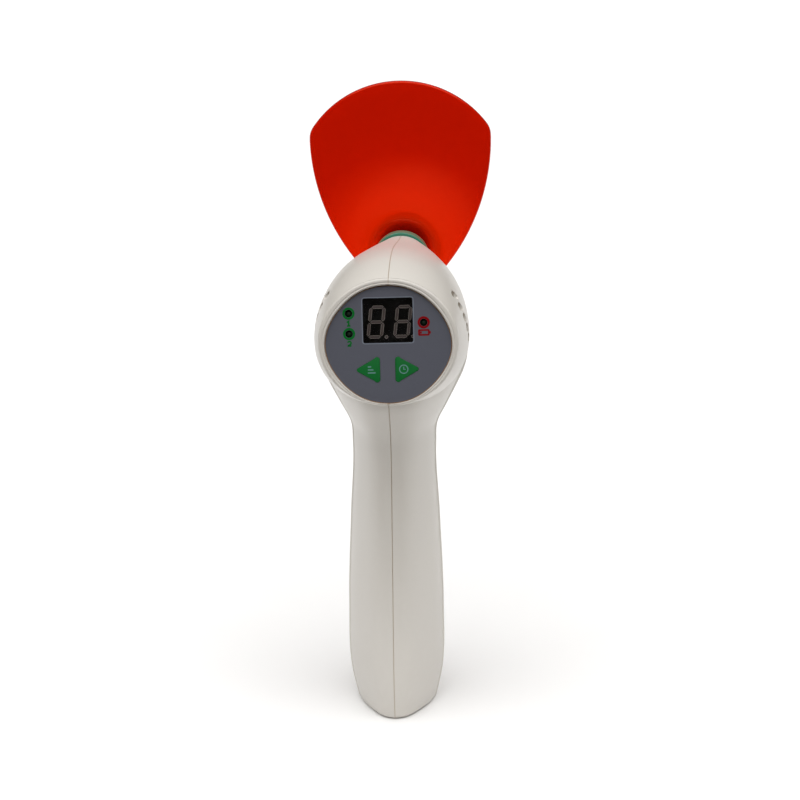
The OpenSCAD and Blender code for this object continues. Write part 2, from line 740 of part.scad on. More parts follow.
module nose_collar() {
    color("#2e8068") on_nose(0) rotate_extrude() polygon([
        [bore_r, collar_flange_y[0]], [collar_flange_r, collar_flange_y[0]],
        [collar_flange_r, collar_flange_y[1]], [spigot_r, collar_flange_y[1]], [spigot_r, collar_y[0]],
        [collar_r - 0.3, collar_y[0]], [collar_r, collar_y[0] + 0.3], [collar_r, collar_y[1] - 0.8],
        [collar_r - 0.8, collar_y[1]], [bore_r + 0.5, collar_y[1]], [bore_r, collar_y[1] - 0.5]
    ]);
}
module guide_o_ring() {
    color("#1a1a1a") on_nose(51) rotate_extrude() translate([4.95, 0]) circle(r = 0.54);
}
module guide_ferrule() {
    color("#c4c7cc") on_nose(0) rotate_extrude() polygon([
        [rod_r, ferrule_y[0]], [ferrule_r - 0.4, ferrule_y[0]], [ferrule_r, ferrule_y[0] + 0.4],
        [ferrule_r, 50.4], [4.38, 50.4], [4.38, 51.6], [ferrule_r, 51.6], [ferrule_r, ferrule_y[1]],
        [6.8, ferrule_y[1]], [6.8, 62.2], [6.2, 62.8], [rod_r + 1.1, 68], [rod_r, 68]
    ]);
}
module light_guide_rod() {
    color("#2a1c18") {
        on_nose(rod_y[0]) cylinder(r = end_r, h = rod_y[1] - rod_y[0] + end_overlap);
        translate([0, rod_y[1], nose_z]) {
            translate([0, 0, -guide_bend_r]) rotate([90, 0, 90]) rotate([0, 0, 90 - guide_bend])
                rotate_extrude(angle = guide_bend) translate([guide_bend_r, 0]) circle(r = rod_r);
            translate([0, guide_bend_r * sin(guide_bend), guide_bend_r * (cos(guide_bend) - 1)])
                rotate([-90 - guide_bend, 0, 0]) translate([0, 0, -end_overlap])
                    cylinder(r = end_r, h = guide_tip_len + end_overlap);
        }
    }
}
module shield_bush() {
    color("#3a3a3c") on_nose(shield_y + hub_depth + 1) ring(bush_r, rod_r + 0.05, 6);
}
function shield_outline() =
    let (
        side_mid = [shield_corner[0] + shield_corner_r - shield_side_r, shield_corner[1]],
        lift = shield_top - shield_corner[1] - shield_corner_r,
        shield_top_mid = shield_corner[1] - (shield_corner[0] ^ 2 - lift ^ 2) / (2 * lift),
        shield_top_r = shield_top - shield_top_mid,
        corner_a = atan2(shield_corner[1] - shield_top_mid, shield_corner[0]),
        side_a = atan2(side_mid[1], -side_mid[0]),
        bottom_r = shield_side_r - norm(side_mid),
        right = concat(
            arc([0, 0], bottom_r, -90, -side_a, 6),
            arc(side_mid, shield_side_r, -side_a, 0, 14),
            arc(shield_corner, shield_corner_r, 0, corner_a, 8),
            arc([0, shield_top_mid], shield_top_r, corner_a, 90, 14)
        )
    )
    concat(right, [for (i = [len(right) - 2 : -1 : 1]) [-right[i][0], right[i][1]]]);
module light_shield() {
    color("#c81e00", 0.75) {
        difference() {
            translate([0, shield_y + shield_t, nose_z]) rotate([90, 0, 0])
                linear_extrude(shield_t) rotate(shield_lean) polygon(shield_outline());
            on_nose(shield_y - 1) cylinder(r = hub_r + 1, h = 5);
        }
        on_nose(shield_y) rotate_extrude() polygon([
            [hub_r + 1, 0], [hub_r + 1, shield_t], [hub_r, shield_t + 0.6],
            [bush_r + 1.8, hub_depth + 1.2], [bush_r + 1.8, hub_tube_y - shield_y],
            [bush_r, hub_tube_y - shield_y], [bush_r, hub_depth + 1],
            [rod_r + 0.25, hub_depth + 1], [rod_r + 0.25, hub_depth - 0.4],
            [hub_r - 1.2, 0.5], [hub_r - 0.4, -0.3], [hub_r + 0.4, -0.3]
        ]);
    }
}

left_shell();
right_shell();
shell_screws();
base_plate();
charge_contacts();
panel_overlay();
panel_bezel();
display_window();
mode_key();
time_key();
display_housing();
display_digits();
mode1_led();
mode2_led();
low_battery_led();
control_board();
board_screws();
mode_switch();
time_switch();
mode_plunger();
time_plunger();
buzzer();
control_chip();
trigger_button();
trigger_spring();
trigger_switch();
trigger_plunger();
trigger_board();
battery_cell();
battery_tabs();
battery_pad();
charge_board();
charge_parts();
battery_leads();
emitter_leads();
trigger_leads();
contact_leads();
heat_sink();
emitter_board();
emitter_led();
reflector();
front_window();
nose_collar();
guide_o_ring();
guide_ferrule();
light_guide_rod();
shield_bush();
light_shield();
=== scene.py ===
"""Looks of a cordless dental curing light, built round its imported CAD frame. Lengths are in millimetres
until a mesh is made, and then in metres."""
import json
from math import atan2, copysign, cos, hypot, pi, radians, sin, sqrt, tan

import bmesh
import bpy
import numpy as np
from mathutils import Matrix, Vector


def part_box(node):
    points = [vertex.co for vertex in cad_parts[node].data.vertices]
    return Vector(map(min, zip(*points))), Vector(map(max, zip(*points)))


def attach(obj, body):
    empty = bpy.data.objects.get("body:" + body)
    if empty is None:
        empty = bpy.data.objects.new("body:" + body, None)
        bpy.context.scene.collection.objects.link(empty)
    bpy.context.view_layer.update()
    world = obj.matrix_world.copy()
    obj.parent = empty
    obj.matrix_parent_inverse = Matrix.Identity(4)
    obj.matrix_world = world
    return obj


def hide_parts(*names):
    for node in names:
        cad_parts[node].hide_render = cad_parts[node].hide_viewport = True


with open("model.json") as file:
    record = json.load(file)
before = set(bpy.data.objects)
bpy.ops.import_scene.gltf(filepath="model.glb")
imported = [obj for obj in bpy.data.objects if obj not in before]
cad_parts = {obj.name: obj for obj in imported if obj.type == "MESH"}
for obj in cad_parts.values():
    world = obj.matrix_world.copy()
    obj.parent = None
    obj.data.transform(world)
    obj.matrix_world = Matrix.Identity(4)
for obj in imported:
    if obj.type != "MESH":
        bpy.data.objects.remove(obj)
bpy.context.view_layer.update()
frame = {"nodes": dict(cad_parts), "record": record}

MM = 0.001
SMOOTH_ANGLE = radians(32)


# ---- Places taken from the frame ----

def full_turn(steps):
    """Equal angles round a circle."""
    return np.linspace(0, 2 * pi, steps, endpoint=False)


def node_box(node):
    """Lowest and highest corner of a CAD node, in millimetres."""
    low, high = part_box(node)
    return np.array(low) / MM, np.array(high) / MM


collar_low, collar_high = node_box("nose_collar")
NOSE_Z = (collar_low[2] + collar_high[2]) / 2
COLLAR_END = collar_high[1]

PANEL_TILT = radians(14.5)
PANEL_MID = np.array([0, -23, 118])
PANEL_X = np.array([1, 0, 0])
PANEL_Y = np.array([0, sin(PANEL_TILT), cos(PANEL_TILT)])
PANEL_OUT = np.array([0, -cos(PANEL_TILT), sin(PANEL_TILT)])
LAYOUT_TURN = radians(1.3)
LAYOUT_X = PANEL_X * cos(LAYOUT_TURN) + PANEL_Y * sin(LAYOUT_TURN)
LAYOUT_Y = PANEL_Y * cos(LAYOUT_TURN) - PANEL_X * sin(LAYOUT_TURN)

SEAT_RX = 18.0
SEAT_RY = 16.5
RIM_RISE = 1.0
FILM_T = 0.5
SEAM = 0.02

# Head stations: y, height of the widest line, half width, rise above it, drop below it
HEAD = [
    [-32, 118, 16.5, 15, 15],
    [-23, 118, 19.9, 16.9, 18],
    [-15, 116.6, 21.5, 20.9, 19],
    [-6, 115.6, 22.4, 23.6, 19.5],
    [3, 115.8, 22.3, 23.6, 19],
    [12, 117, 21.4, 21.7, 18],
    [22, 118.8, 19.6, 18.6, 16.6],
    [33, 121, 16.7, 14.8, 14],
    [44, 123.4, 13.1, 10.9, 11.3],
    [55, 125.2, 8.6, 7.9, 8.4],
]
# Grip stations: z, middle in y, half width, rear depth, front depth, half width of the rear flat
GRIP = [
    [0, 0, 11.7, 16.1, 16.5, 3.5],
    [10, 0, 13.9, 18.5, 18, 4.8],
    [32, 0.5, 14.5, 19, 18, 5.2],
    [60, 1.5, 13.5, 18.8, 17.5, 5.2],
    [82, 2, 12.6, 18.8, 17.5, 5.2],
    [88, 1.8, 13, 19.6, 18, 5.4],
    [94, 1, 15.8, 21.8, 20, 6],
    [100, 0, 18.7, 24.6, 22, 7],
    [105, 0, 21, 25.8, 23, 8.5],
    [110, 0, 22.2, 25.5, 24, 10],
    [114, 0, 22.2, 25, 24, 11],
]
HEAD_POWER_UP = 2
HEAD_POWER_DOWN = 2.1
FACET_POWER = 9
WALL = 2
VENTS = [[-8.6, 129], [-9.2, 125.8], [-9, 122.6], [-8.2, 119.4], [-7, 116.2]]
SCREWS = [[13, 11, 6.2], [12.8, 69, 7], [26, 109.6, 10.6], [11, 102.6, 13.6]]
TRIGGER_Z = 86


# ---- Mesh helpers ----

def add_object(name, data):
    thing = bpy.data.objects.new(name, data)
    bpy.context.scene.collection.objects.link(thing)
    return thing


def make_mesh(name, points, faces):
    """Object from points in millimetres, with its faces turned outward."""
    mesh = bpy.data.meshes.new(name)
    mesh.from_pydata([tuple(float(c) * MM for c in p) for p in points], [], faces)
    mesh.update()
    return face_outward(add_object(name, mesh))


def face_outward(piece):
    work = bmesh.new()
    work.from_mesh(piece.data)
    bmesh.ops.recalc_face_normals(work, faces=work.faces[:])
    work.to_mesh(piece.data)
    work.free()
    return piece


def shade(piece, angle=SMOOTH_ANGLE):
    """Smooth shading with edges sharper than the angle kept crisp."""
    piece.data.shade_smooth()
    piece.data.set_sharp_from_angle(angle=angle)
    return piece


def loft(name, rings, closed=False):
    """Skin through rings of equal count. closed joins the last ring to the first."""
    count = len(rings[0])
    points = [p for ring in rings for p in ring]
    faces = []
    last = len(rings) if closed else len(rings) - 1
    for j in range(last):
        base = j * count
        above = ((j + 1) % len(rings)) * count
        for i in range(count):
            k = (i + 1) % count
            faces.append((base + i, base + k, above + k, above + i))
    if not closed:
        faces.append(tuple(range(count - 1, -1, -1)))
        faces.append(tuple((len(rings) - 1) * count + i for i in range(count)))
    return make_mesh(name, points, faces)


def apply_modifiers(piece):
    bpy.context.view_layer.update()
    graph = bpy.context.evaluated_depsgraph_get()
    mesh = bpy.data.meshes.new_from_object(piece.evaluated_get(graph))
    old = piece.data
    piece.modifiers.clear()
    piece.data = mesh
    mesh.name = piece.name
    bpy.data.meshes.remove(old)
    return piece


def combine(piece, tool, operation="DIFFERENCE"):
    """Cuts tool from piece, or joins it on, and removes tool."""
    mod = piece.modifiers.new("boolean", "BOOLEAN")
    mod.operation = operation
    mod.solver = "MANIFOLD"
    mod.object = tool
    apply_modifiers(piece)
    bpy.data.objects.remove(tool)
    return piece


def copy_piece(piece, name):
    twin = piece.copy()
    twin.data = piece.data.copy()
    twin.name = name
    bpy.context.scene.collection.objects.link(twin)
    return twin


def merge_pieces(name, pieces):
    """One object from several, with their material slots kept."""
    work = bmesh.new()
    materials = []
    for piece in pieces:
        start = len(work.faces)
        work.from_mesh(piece.data)
        work.faces.ensure_lookup_table()
        remap = []
        for material in piece.data.materials:
            if material not in materials:
                materials.append(material)
            remap.append(materials.index(material))
        for face in work.faces[start:]:
            if remap:
                face.material_index = remap[min(face.material_index, len(remap) - 1)]
    mesh = bpy.data.meshes.new(name)
    work.to_mesh(mesh)
    work.free()
    for material in materials:
        mesh.materials.append(material)
    for piece in pieces:
        bpy.data.objects.remove(piece)
    return add_object(name, mesh)


def shade_by_area(piece):
    """Smooth shading led by the larger faces, so slivers left by the cuts don't show."""
    shade(piece)
    mod = piece.modifiers.new("normals", "WEIGHTED_NORMAL")
    mod.keep_sharp = True
    mod.weight = 60
    return apply_modifiers(piece)


def box_piece(name, low, high):
    corners = [(x, y, z) for z in (low[2], high[2]) for y in (low[1], high[1]) for x in (low[0], high[0])]
    faces = [(0, 1, 3, 2), (4, 5, 7, 6), (0, 1, 5, 4), (2, 3, 7, 6), (0, 2, 6, 4), (1, 3, 7, 5)]
    return make_mesh(name, corners, faces)


def turned(name, profile, steps=128):
    """Piece turned about the nose axis from a closed profile of (radius, y) points."""
    rings = []
    for a in full_turn(steps):
        rings.append([(r * cos(a), y, NOSE_Z + r * sin(a)) for r, y in profile])
    return loft(name, rings, closed=True)


def rounded_profile(points, radii, steps=6):
    """Closed polygon with each corner rounded by its own radius."""
    out = []
    count = len(points)
    for i in range(count):
        p = np.array(points[i], float)
        before = np.array(points[i - 1], float) - p
        after = np.array(points[(i + 1) % count], float) - p
        reach = min(radii[i], 0.49 * np.linalg.norm(before), 0.49 * np.linalg.norm(after))
        if reach < 1e-4:
            out.append(tuple(p))
            continue
        a = p + before / np.linalg.norm(before) * reach
        b = p + after / np.linalg.norm(after) * reach
        for s in np.linspace(0, 1, steps + 1):
            out.append(tuple((1 - s) ** 2 * a + 2 * s * (1 - s) * p + s ** 2 * b))
    return out


def on_layout(x, y, out):
    return PANEL_MID + LAYOUT_X * x + LAYOUT_Y * y + PANEL_OUT * out


def on_panel(x, y, out):
    return PANEL_MID + PANEL_X * x + PANEL_Y * y + PANEL_OUT * out


def tile(name, outline, low, high, place=on_layout, edge=0.0):
    """Flat plate in the panel's plane from an outline, between two depths, with its top edge rounded."""
    outline = anticlockwise(outline)
    rings = [[place(*p, low) for p in outline]]
    if edge > 0:
        for s in (0, 0.25, 0.5, 0.75, 1):
            a = s * pi / 2
            drop = edge * (1 - sin(a))
            rings.append([place(*q, high - drop) for q in inset(outline, edge * (1 - cos(a)))])
    else:
        rings.append([place(*p, high) for p in outline])
    return loft(name, rings)


def anticlockwise(outline):
    """Outline as arrays, turned round if it runs clockwise."""
    points = [np.array(p, float) for p in outline]
    area = sum(p[0] * q[1] - q[0] * p[1] for p, q in zip(points, points[1:] + points[:1]))
    return points if area >= 0 else points[::-1]


def inset(outline, amount):
    """Outline moved inward along its own normals; it runs anticlockwise."""
    out = []
    count = len(outline)
    for i in range(count):
        way = outline[(i + 1) % count] - outline[i - 1]
        way = way / np.linalg.norm(way)
        out.append(outline[i] + np.array([-way[1], way[0]]) * amount)
    return out


def frame_tile(name, outline, width, low, high, place=on_layout):
    """Thin band that follows a closed outline, width inward from it."""
    outline = anticlockwise(outline)
    rings = []
    for p, q in zip(outline, inset(outline, width)):
        rings.append([place(*p, low), place(*p, high), place(*q, high), place(*q, low)])
    return loft(name, rings, closed=True)


def circle(x, y, r, steps=48):
    return [(x + r * cos(a), y + r * sin(a)) for a in full_turn(steps)]


def rounded_box(x, y, w, h, r, steps=8):
    """Outline of a rectangle with round corners, centred on x, y."""
    out = []
    for i, (sx, sy) in enumerate(((1, 1), (-1, 1), (-1, -1), (1, -1))):
        for k in range(steps + 1):
            a = pi / 2 * (i + k / steps)
            out.append((x + sx * (w / 2 - r) + r * cos(a), y + sy * (h / 2 - r) + r * sin(a)))
    return out


def stroke(points, width):
    """Outline of a line drawn through points with square ends."""
    points = [np.array(p, float) for p in points]
    left = []
    right = []
    for i, p in enumerate(points):
        before = points[i] - points[i - 1] if i else points[1] - points[0]
        after = points[i + 1] - points[i] if i < len(points) - 1 else before
        if i == 0:
            before = after
        n1 = np.array([-before[1], before[0]]) / np.linalg.norm(before)
        n2 = np.array([-after[1], after[0]]) / np.linalg.norm(after)
        n = n1 + n2
        n = n / (n @ n) * 2
        left.append(p + n * width / 2)
        right.append(p - n * width / 2)
    return left + right[::-1]


# ---- Housing surface ----

def slope(t, i, k):
    return (t[i + 1][k] - t[i][k]) / (t[i + 1][0] - t[i][0])


def slope_at(t, i, k):
    if i == 0:
        return slope(t, 0, k)
    if i == len(t) - 1:
        return slope(t, i - 1, k)
    before = t[i][0] - t[i - 1][0]
    after = t[i + 1][0] - t[i][0]
    return (slope(t, i - 1, k) * after + slope(t, i, k) * before) / (before + after)


def read_station(t, x, k):
    """Column k of a station list, read at x along a smooth cubic."""
    i = 0
    while i < len(t) - 2 and x >= t[i + 1][0]:
        i += 1
    h = t[i + 1][0] - t[i][0]
    s = (x - t[i][0]) / h
    return (
        (2 * s ** 3 - 3 * s ** 2 + 1) * t[i][k] + (s ** 3 - 2 * s ** 2 + s) * h * slope_at(t, i, k)
        + (3 * s ** 2 - 2 * s ** 3) * t[i + 1][k] + (s ** 3 - s ** 2) * h * slope_at(t, i + 1, k)
    )


def seam_angles(step):
    """Angles round a ring, closer together beside the seam at 90 and 270 degrees."""
    near = [0, 0.12, 0.22, 0.34, 0.48, 0.64, 0.85, 1.15, 1.6, 2.4, 3.6]
    quarter = near + list(np.linspace(near[-1] + step, 90, max(2, round((90 - near[-1]) / step))))
    right = [90 - a for a in reversed(quarter)] + [90 + a for a in quarter[1:]]
    return np.radians(right[:-1] + [a + 180 for a in right[:-1]])


def seam_inset(x, radius):
    """How far the surface rolls in at a distance x from the middle, beside the seam."""
    away = np.clip(np.abs(x) - SEAM, 0, radius)
    return radius - np.sqrt(np.maximum(radius ** 2 - (radius - away) ** 2, 0))


def head_section(y, angles, wall=0, seam=0):
    up = np.sin(angles) > 0
    power = 2 / np.where(up, HEAD_POWER_UP, HEAD_POWER_DOWN)
    half = read_station(HEAD, y, 2) - wall
    rise = np.where(up, read_station(HEAD, y, 3), read_station(HEAD, y, 4)) - wall
    x = half * np.sign(np.cos(angles)) * np.abs(np.cos(angles)) ** power
    roll = seam_inset(x, seam)
    z = read_station(HEAD, y, 1) + (rise - roll) * np.sign(np.sin(angles)) * np.abs(np.sin(angles)) ** power
    return [(x[i], y, z[i]) for i in range(len(angles))]


def grip_section(z, angles, wall=0, seam=0):
    c = np.cos(angles)
    s = np.sin(angles)
    rear = s < 0
    w = read_station(GRIP, z, 2) - wall
    d = np.where(rear, read_station(GRIP, z, 3), read_station(GRIP, z, 4)) - wall
    flat = read_station(GRIP, z, 5) - wall / 2 + np.where(rear, 0, 1.5)
    side = d * np.where(rear, 0.14, 0.35)
    det = flat * side - w * d
    a = (side - d) / det
    b = (flat - w) / det
    p = FACET_POWER
    r = ((np.abs(c) / w) ** p + (np.abs(s) / d) ** p + (np.abs(c) * a + np.abs(s) * b) ** p) ** (-1 / p)
    x = r * c
    y = read_station(GRIP, z, 1) + (r - seam_inset(x, seam)) * s
    return [(x[i], y[i], z) for i in range(len(angles))]


def seam_radius(z):
    """Roll of the seam's edges: wide at the top of the grip, nearly closed at its foot."""
    return float(np.interp(z, [0, 15, 45, 85, 98, 110], [0.04, 0.06, 0.13, 0.24, 0.2, 0.14]))


def head_solid(name, wall, y_list, angles, seam=0):
    return loft(name, [head_section(y, angles, wall, seam) for y in y_list])


def grip_solid(name, wall, z_list, angles, rolled=False):
    foot = 1.5
    rings = []
    for z in z_list:
        extra = foot - sqrt(foot ** 2 - (foot - z) ** 2) if rolled and z < foot else 0
        rings.append(grip_section(z, angles, wall + extra, seam_radius(z) if rolled else 0))
    return loft(name, rings)


def inside_head(p):
    x, y, z = p
    if not -32 < y < 55:
        return False
    above = z - read_station(HEAD, y, 1)
    power = HEAD_POWER_UP if above > 0 else HEAD_POWER_DOWN
    rise = read_station(HEAD, y, 3 if above > 0 else 4)
    return (abs(x) / read_station(HEAD, y, 2)) ** power + (abs(above) / rise) ** power < 1


def oval_radius(a, rx, ry):
    """The panel's oval: an ellipse drawn in a little towards its shoulders."""
    ellipse = 1 / hypot(cos(a) / rx, sin(a) / ry)
    return ellipse - 0.73 * (sin(2 * a) * cos(a)) ** 2 + 0.17 * sin(a) ** 2


def rim_width(angle, out):
    """Distance from the seat's oval to the head's skin, along the panel's plane raised by out."""
    way = PANEL_X * cos(angle) + PANEL_Y * sin(angle)
    seat = oval_radius(angle, SEAT_RX, SEAT_RY)
    low = seat - 1
    high = seat + 8
    for _ in range(22):
        mid = (low + high) / 2
        if inside_head(PANEL_MID + way * mid + PANEL_OUT * out):
            low = mid
        else:
            high = mid
    return low - seat, seat


def rim_cutter():
    """Everything above the rim: an inner lip, a groove, and an outer lip rolled into the head's skin."""
    rings = []
    for angle in full_turn(240):
        width, seat = rim_width(angle, RIM_RISE)
        lower, _ = rim_width(angle, 0.45)
        roll = min(0.55, 0.4 * width)
        groove = min(0.4 * width, 0.75)
        depth = 0.12 * min(1, max(0, (width - 0.45) / 0.5))
        half = min(0.24, 0.22 * width)
        lip = min(0.2, 0.25 * width)
        top = RIM_RISE - 0.02
        draft = 0.1 + 0.08 * max(0, sin(angle)) ** 2
        profile = [(-2.5, 3.5), (-2.5, -0.1), (-0.05, -0.1)]
        for u, w in ((0, 1), (0.1, 0.55), (0.35, 0.22), (0.7, 0.04), (1.1, 0)):
            profile.append((draft * (1 if u else 0.9) + u * lip, top - w * lip))
        for s in (-1, -0.7, -0.4, 0, 0.4, 0.7, 1):
            profile.append((groove + s * half, top - depth * cos(s * pi / 2) ** 0.7))
        for s in (0, 0.2, 0.4, 0.6, 0.8, 1):
            a = s * pi / 2 * 0.9
            outward = (roll + 0.5 * (lower - width)) * sin(a)
            profile.append((width - roll + outward, top + 0.02 - roll * (1 - cos(a))))
        end = profile[-1]
        profile += [(end[0] + 0.4, end[1] - 0.04), (end[0] + 1.5, end[1] + 1.2), (end[0] + 6, 3.5)]
        way = np.array([cos(angle), sin(angle)])
        rings.append([on_panel(way[0] * (seat + u), way[1] * (seat + u), w) for u, w in profile])
    return loft("rim_cutter", rings, closed=True)


def oval_outline(rx, ry):
    out = []
    for a in full_turn(240):
        r = oval_radius(a, rx, ry)
        out.append((r * cos(a), r * sin(a)))
    return out


def oval_solid(name, rx, ry, low, high):
    return tile(name, oval_outline(rx, ry), low, high, on_panel)


def head_x(y, z):
    """Half width of the head's skin at y, z."""
    height = max(z - read_station(HEAD, y, 1), 0) / read_station(HEAD, y, 3)
    return read_station(HEAD, y, 2) * sqrt(1 - height ** 2)


def ball(middle, radius):
    points = []
    for a in np.linspace(0, pi, 15):
        for b in full_turn(24):
            way = (sin(a) * cos(b), sin(a) * sin(b), cos(a))
            points.append([m + radius * w for m, w in zip(middle, way)])
    return points


def hull(name, points):
    work = bmesh.new()
    for p in points:
        work.verts.new(Vector(p) * MM)
    result = bmesh.ops.convex_hull(work, input=work.verts[:])
    loose = [v for v in result["geom_interior"] if isinstance(v, bmesh.types.BMVert)]
    bmesh.ops.delete(work, geom=loose, context="VERTS")
    bmesh.ops.delete(work, geom=[v for v in work.verts if not v.link_faces], context="VERTS")
    mesh = bpy.data.meshes.new(name)
    work.to_mesh(mesh)
    work.free()
    return face_outward(add_object(name, mesh))


def rod_between(name, start, end, r, steps=40):
    """Round bar from start to end."""
    start = np.array(start, float)
    end = np.array(end, float)
    way = (end - start) / np.linalg.norm(end - start)
    side = np.cross(way, [0, 0, 1] if abs(way[2]) < 0.9 else [1, 0, 0])
    side = side / np.linalg.norm(side)
    other = np.cross(way, side)
    rings = []
    for middle in (start, end):
        rings.append([middle + r * (cos(a) * side + sin(a) * other) for a in full_turn(steps)])
    return loft(name, rings)


def vent_cutters(side):
    """Round vents, each at the back of a shallow scoop that runs forward and down."""
    cutters = []
    for y, z in VENTS:
        x = side * head_x(y, z)
        cutters.append(rod_between("vent", (x - side * 4, y, z), (x + side * 3, y, z), 0.75))
        rear_x = side * head_x(y - 1.1, z)
        points = ball((rear_x + side * 0.1, y - 1.1, z + 0.1), 1.15)
        points += ball((x + side * 0.15, y + 0.1, z), 1.35)
        points += ball((x + side * 0.9, y + 1.9, z - 0.85), 1.0)
        cutters.append(hull("scoop", points))
    return cutters


def stadium_points(half_w, half_h, steps=24):
    """Outline of an upright stadium in x and z, about the trigger's middle."""
    out = []
    for i in range(2 * steps):
        a = pi * i / steps
        rise = (half_h - half_w) * (1 if i < steps else -1)
        out.append((half_w * cos(a), rise + half_w * sin(a)))
    return out


def stadium_solid(name, sections):
    """Solid through stadiums given as (y, half width, half height)."""
    rings = []
    for y, half_w, half_h in sections:
        rings.append([(x, y, TRIGGER_Z + z) for x, z in stadium_points(half_w, half_h)])
    return loft(name, rings)


def outer_skin():
    y_list = [*np.linspace(-32, -26, 4), *np.linspace(-25, 53.5, 118), 54.1, 54.5, 54.8, 55]
    z_list = [0, 0.05, 0.15, 0.3, 0.5, 0.75, 1.1, 1.5, *np.linspace(2.4, 82, 62), *np.linspace(82.6, 114, 60)]
    skin = head_solid("skin", 0, y_list, seam_angles(2.2), seam=0.1)
    combine(skin, grip_solid("grip", 0, z_list, seam_angles(1.6), rolled=True), "UNION")
    return skin


def inner_void():
    angles = full_turn(72) + 0.01
    void = head_solid("void", WALL, np.linspace(-20, 45, 40), angles)
    combine(void, grip_solid("grip_void", WALL, [-1, 3.6, *np.linspace(6, 112, 50)], angles), "UNION")
    return void


def shell_half(skin, side, name):
    half = copy_piece(skin, name)
    for y, z, seat in SCREWS:
        combine(half, rod_between("pilot", (-6.5, y, z), (26, y, z), 1.2))
        if side > 0:
            combine(half, rod_between("seat", (seat - 0.1, y, z), (26, y, z), 2.2))
    for cutter in vent_cutters(side):
        combine(half, cutter)
    if side > 0:
        combine(half, box_piece("half_cut", (-60, -60, -5), (SEAM, 80, 155)))
    else:
        combine(half, box_piece("half_cut", (-SEAM, -60, -5), (60, 80, 155)))
    return shade_by_area(half)


def housing():
    skin = outer_skin()
    combine(skin, inner_void())
    combine(skin, rim_cutter())
    combine(skin, oval_solid("seat", SEAT_RX, SEAT_RY, -FILM_T - 2.1, 5))
    combine(skin, oval_solid("way_in", 16.5, 15, -12, 0))
    above = [on_panel(x, y, z) for z in (RIM_RISE + 0.02, 25) for x in (-40, 40) for y in (-40, 60)]
    combine(skin, hull("above", above))
    for s in (1, -1):
        notch = [(0, s * (SEAT_RY - 0.6)), (0, s * (SEAT_RY + 0.35))]
        combine(skin, tile("notch", stroke(notch, 0.42), -0.3, 2))
    hole = [(12, 5.3, 9.3), (17.6, 5.3, 9.3), (19.6, 5.5, 9.5), (30, 6.6, 10.6)]
    combine(skin, stadium_solid("trigger_hole", hole))
    combine(skin, stadium_solid("flange_room", [(10, 6.5, 10.5), (17.1, 6.5, 10.5)]))
    combine(skin, rod_between("collar_room", (0, 43.1, NOSE_Z), (0, 45, NOSE_Z), 8.0, steps=96))
    combine(skin, rod_between("nose_hole", (0, 40, NOSE_Z), (0, 60, NOSE_Z), 6.85, steps=96))
    plate_low, plate_high = node_box("base_plate")
    outline = grip_section(1, full_turn(120), WALL - 0.3)
    rings = [[(p[0], p[1], z) for p in outline] for z in (plate_low[2] - 1, plate_high[2] + 0.1)]
    combine(skin, loft("plate_seat", rings))
    left = shell_half(skin, -1, "left_shell_skin")
    right = shell_half(skin, 1, "right_shell_skin")
    bpy.data.objects.remove(skin)
    return left, right


# ---- Material helpers ----

class Surface:
    """A principled material whose colour, gloss and relief come from procedural textures."""

    def __init__(self, name, colour, roughness):
        self.material = bpy.data.materials.new(name)
        self.material.use_nodes = True
        self.tree = self.material.node_tree
        self.shader = self.tree.nodes["Principled BSDF"]
        self.colour = colour
        self.put("Base Color", (*colour, 1))
        self.put("Roughness", roughness)
        self.where = self.tree.nodes.new("ShaderNodeTexCoord").outputs["Object"]

    def put(self, socket, value):
        self.shader.inputs[socket].default_value = value
        return self

    def link(self, source, target):
        self.tree.links.new(source, target)

    def node(self, kind, **values):
        """New shader node, with input values named in lower case with _ for a space."""
        node = self.tree.nodes.new("ShaderNode" + kind)
        for name, value in values.items():
            node.inputs[name.replace("_", " ").title()].default_value = value
        return node

    def noise(self, scale, detail=3, roughness=0.55, stretch=None):
        node = self.node("TexNoise", scale=scale, detail=detail, roughness=roughness)
        source = self.where
        if stretch:
            mapping = self.node("Mapping", scale=stretch)
            self.link(self.where, mapping.inputs["Vector"])
            source = mapping.outputs["Vector"]
        self.link(source, node.inputs["Vector"])
        return node.outputs["Fac"]

    def spread(self, value, low, high, from_low=0.3, from_high=0.7):
        node = self.node("MapRange", from_min=from_low, from_max=from_high, to_min=low, to_max=high)
        self.link(value, node.inputs["Value"])
        return node.outputs["Result"]

    def tint(self, value, other, base=None):
        """Mixes the base colour towards another by value."""
        node = self.node("Mix")
        node.data_type = "RGBA"
        self.link(value, node.inputs["Factor"])
        if base is None:
            node.inputs["A"].default_value = (*self.colour, 1)
        else:
            self.link(base, node.inputs["A"])
        node.inputs["B"].default_value = (*other, 1)
        return node.outputs["Result"]

    def vary_colour(self, scale, amount, other=None):
        other = other or tuple(c * 0.8 for c in self.colour)
        mixed = self.tint(self.spread(self.noise(scale), 0, amount), other)
        self.link(mixed, self.shader.inputs["Base Color"])
        return self

    def vary_gloss(self, scale, low, high, stretch=None):
        self.link(self.spread(self.noise(scale, stretch=stretch), low, high), self.shader.inputs["Roughness"])
        return self

    def relief(self, *layers):
        """Bump from (scale, strength, depth in millimetres) layers, each with a stretch if it has a grain."""
        normal = None
        for scale, strength, depth, *stretch in layers:
            bump = self.node("Bump", strength=strength, distance=depth * MM)
            self.link(self.noise(scale, stretch=stretch[0] if stretch else None), bump.inputs["Height"])
            if normal:
                self.link(normal, bump.inputs["Normal"])
            normal = bump.outputs["Normal"]
        self.link(normal, self.shader.inputs["Normal"])
        return self


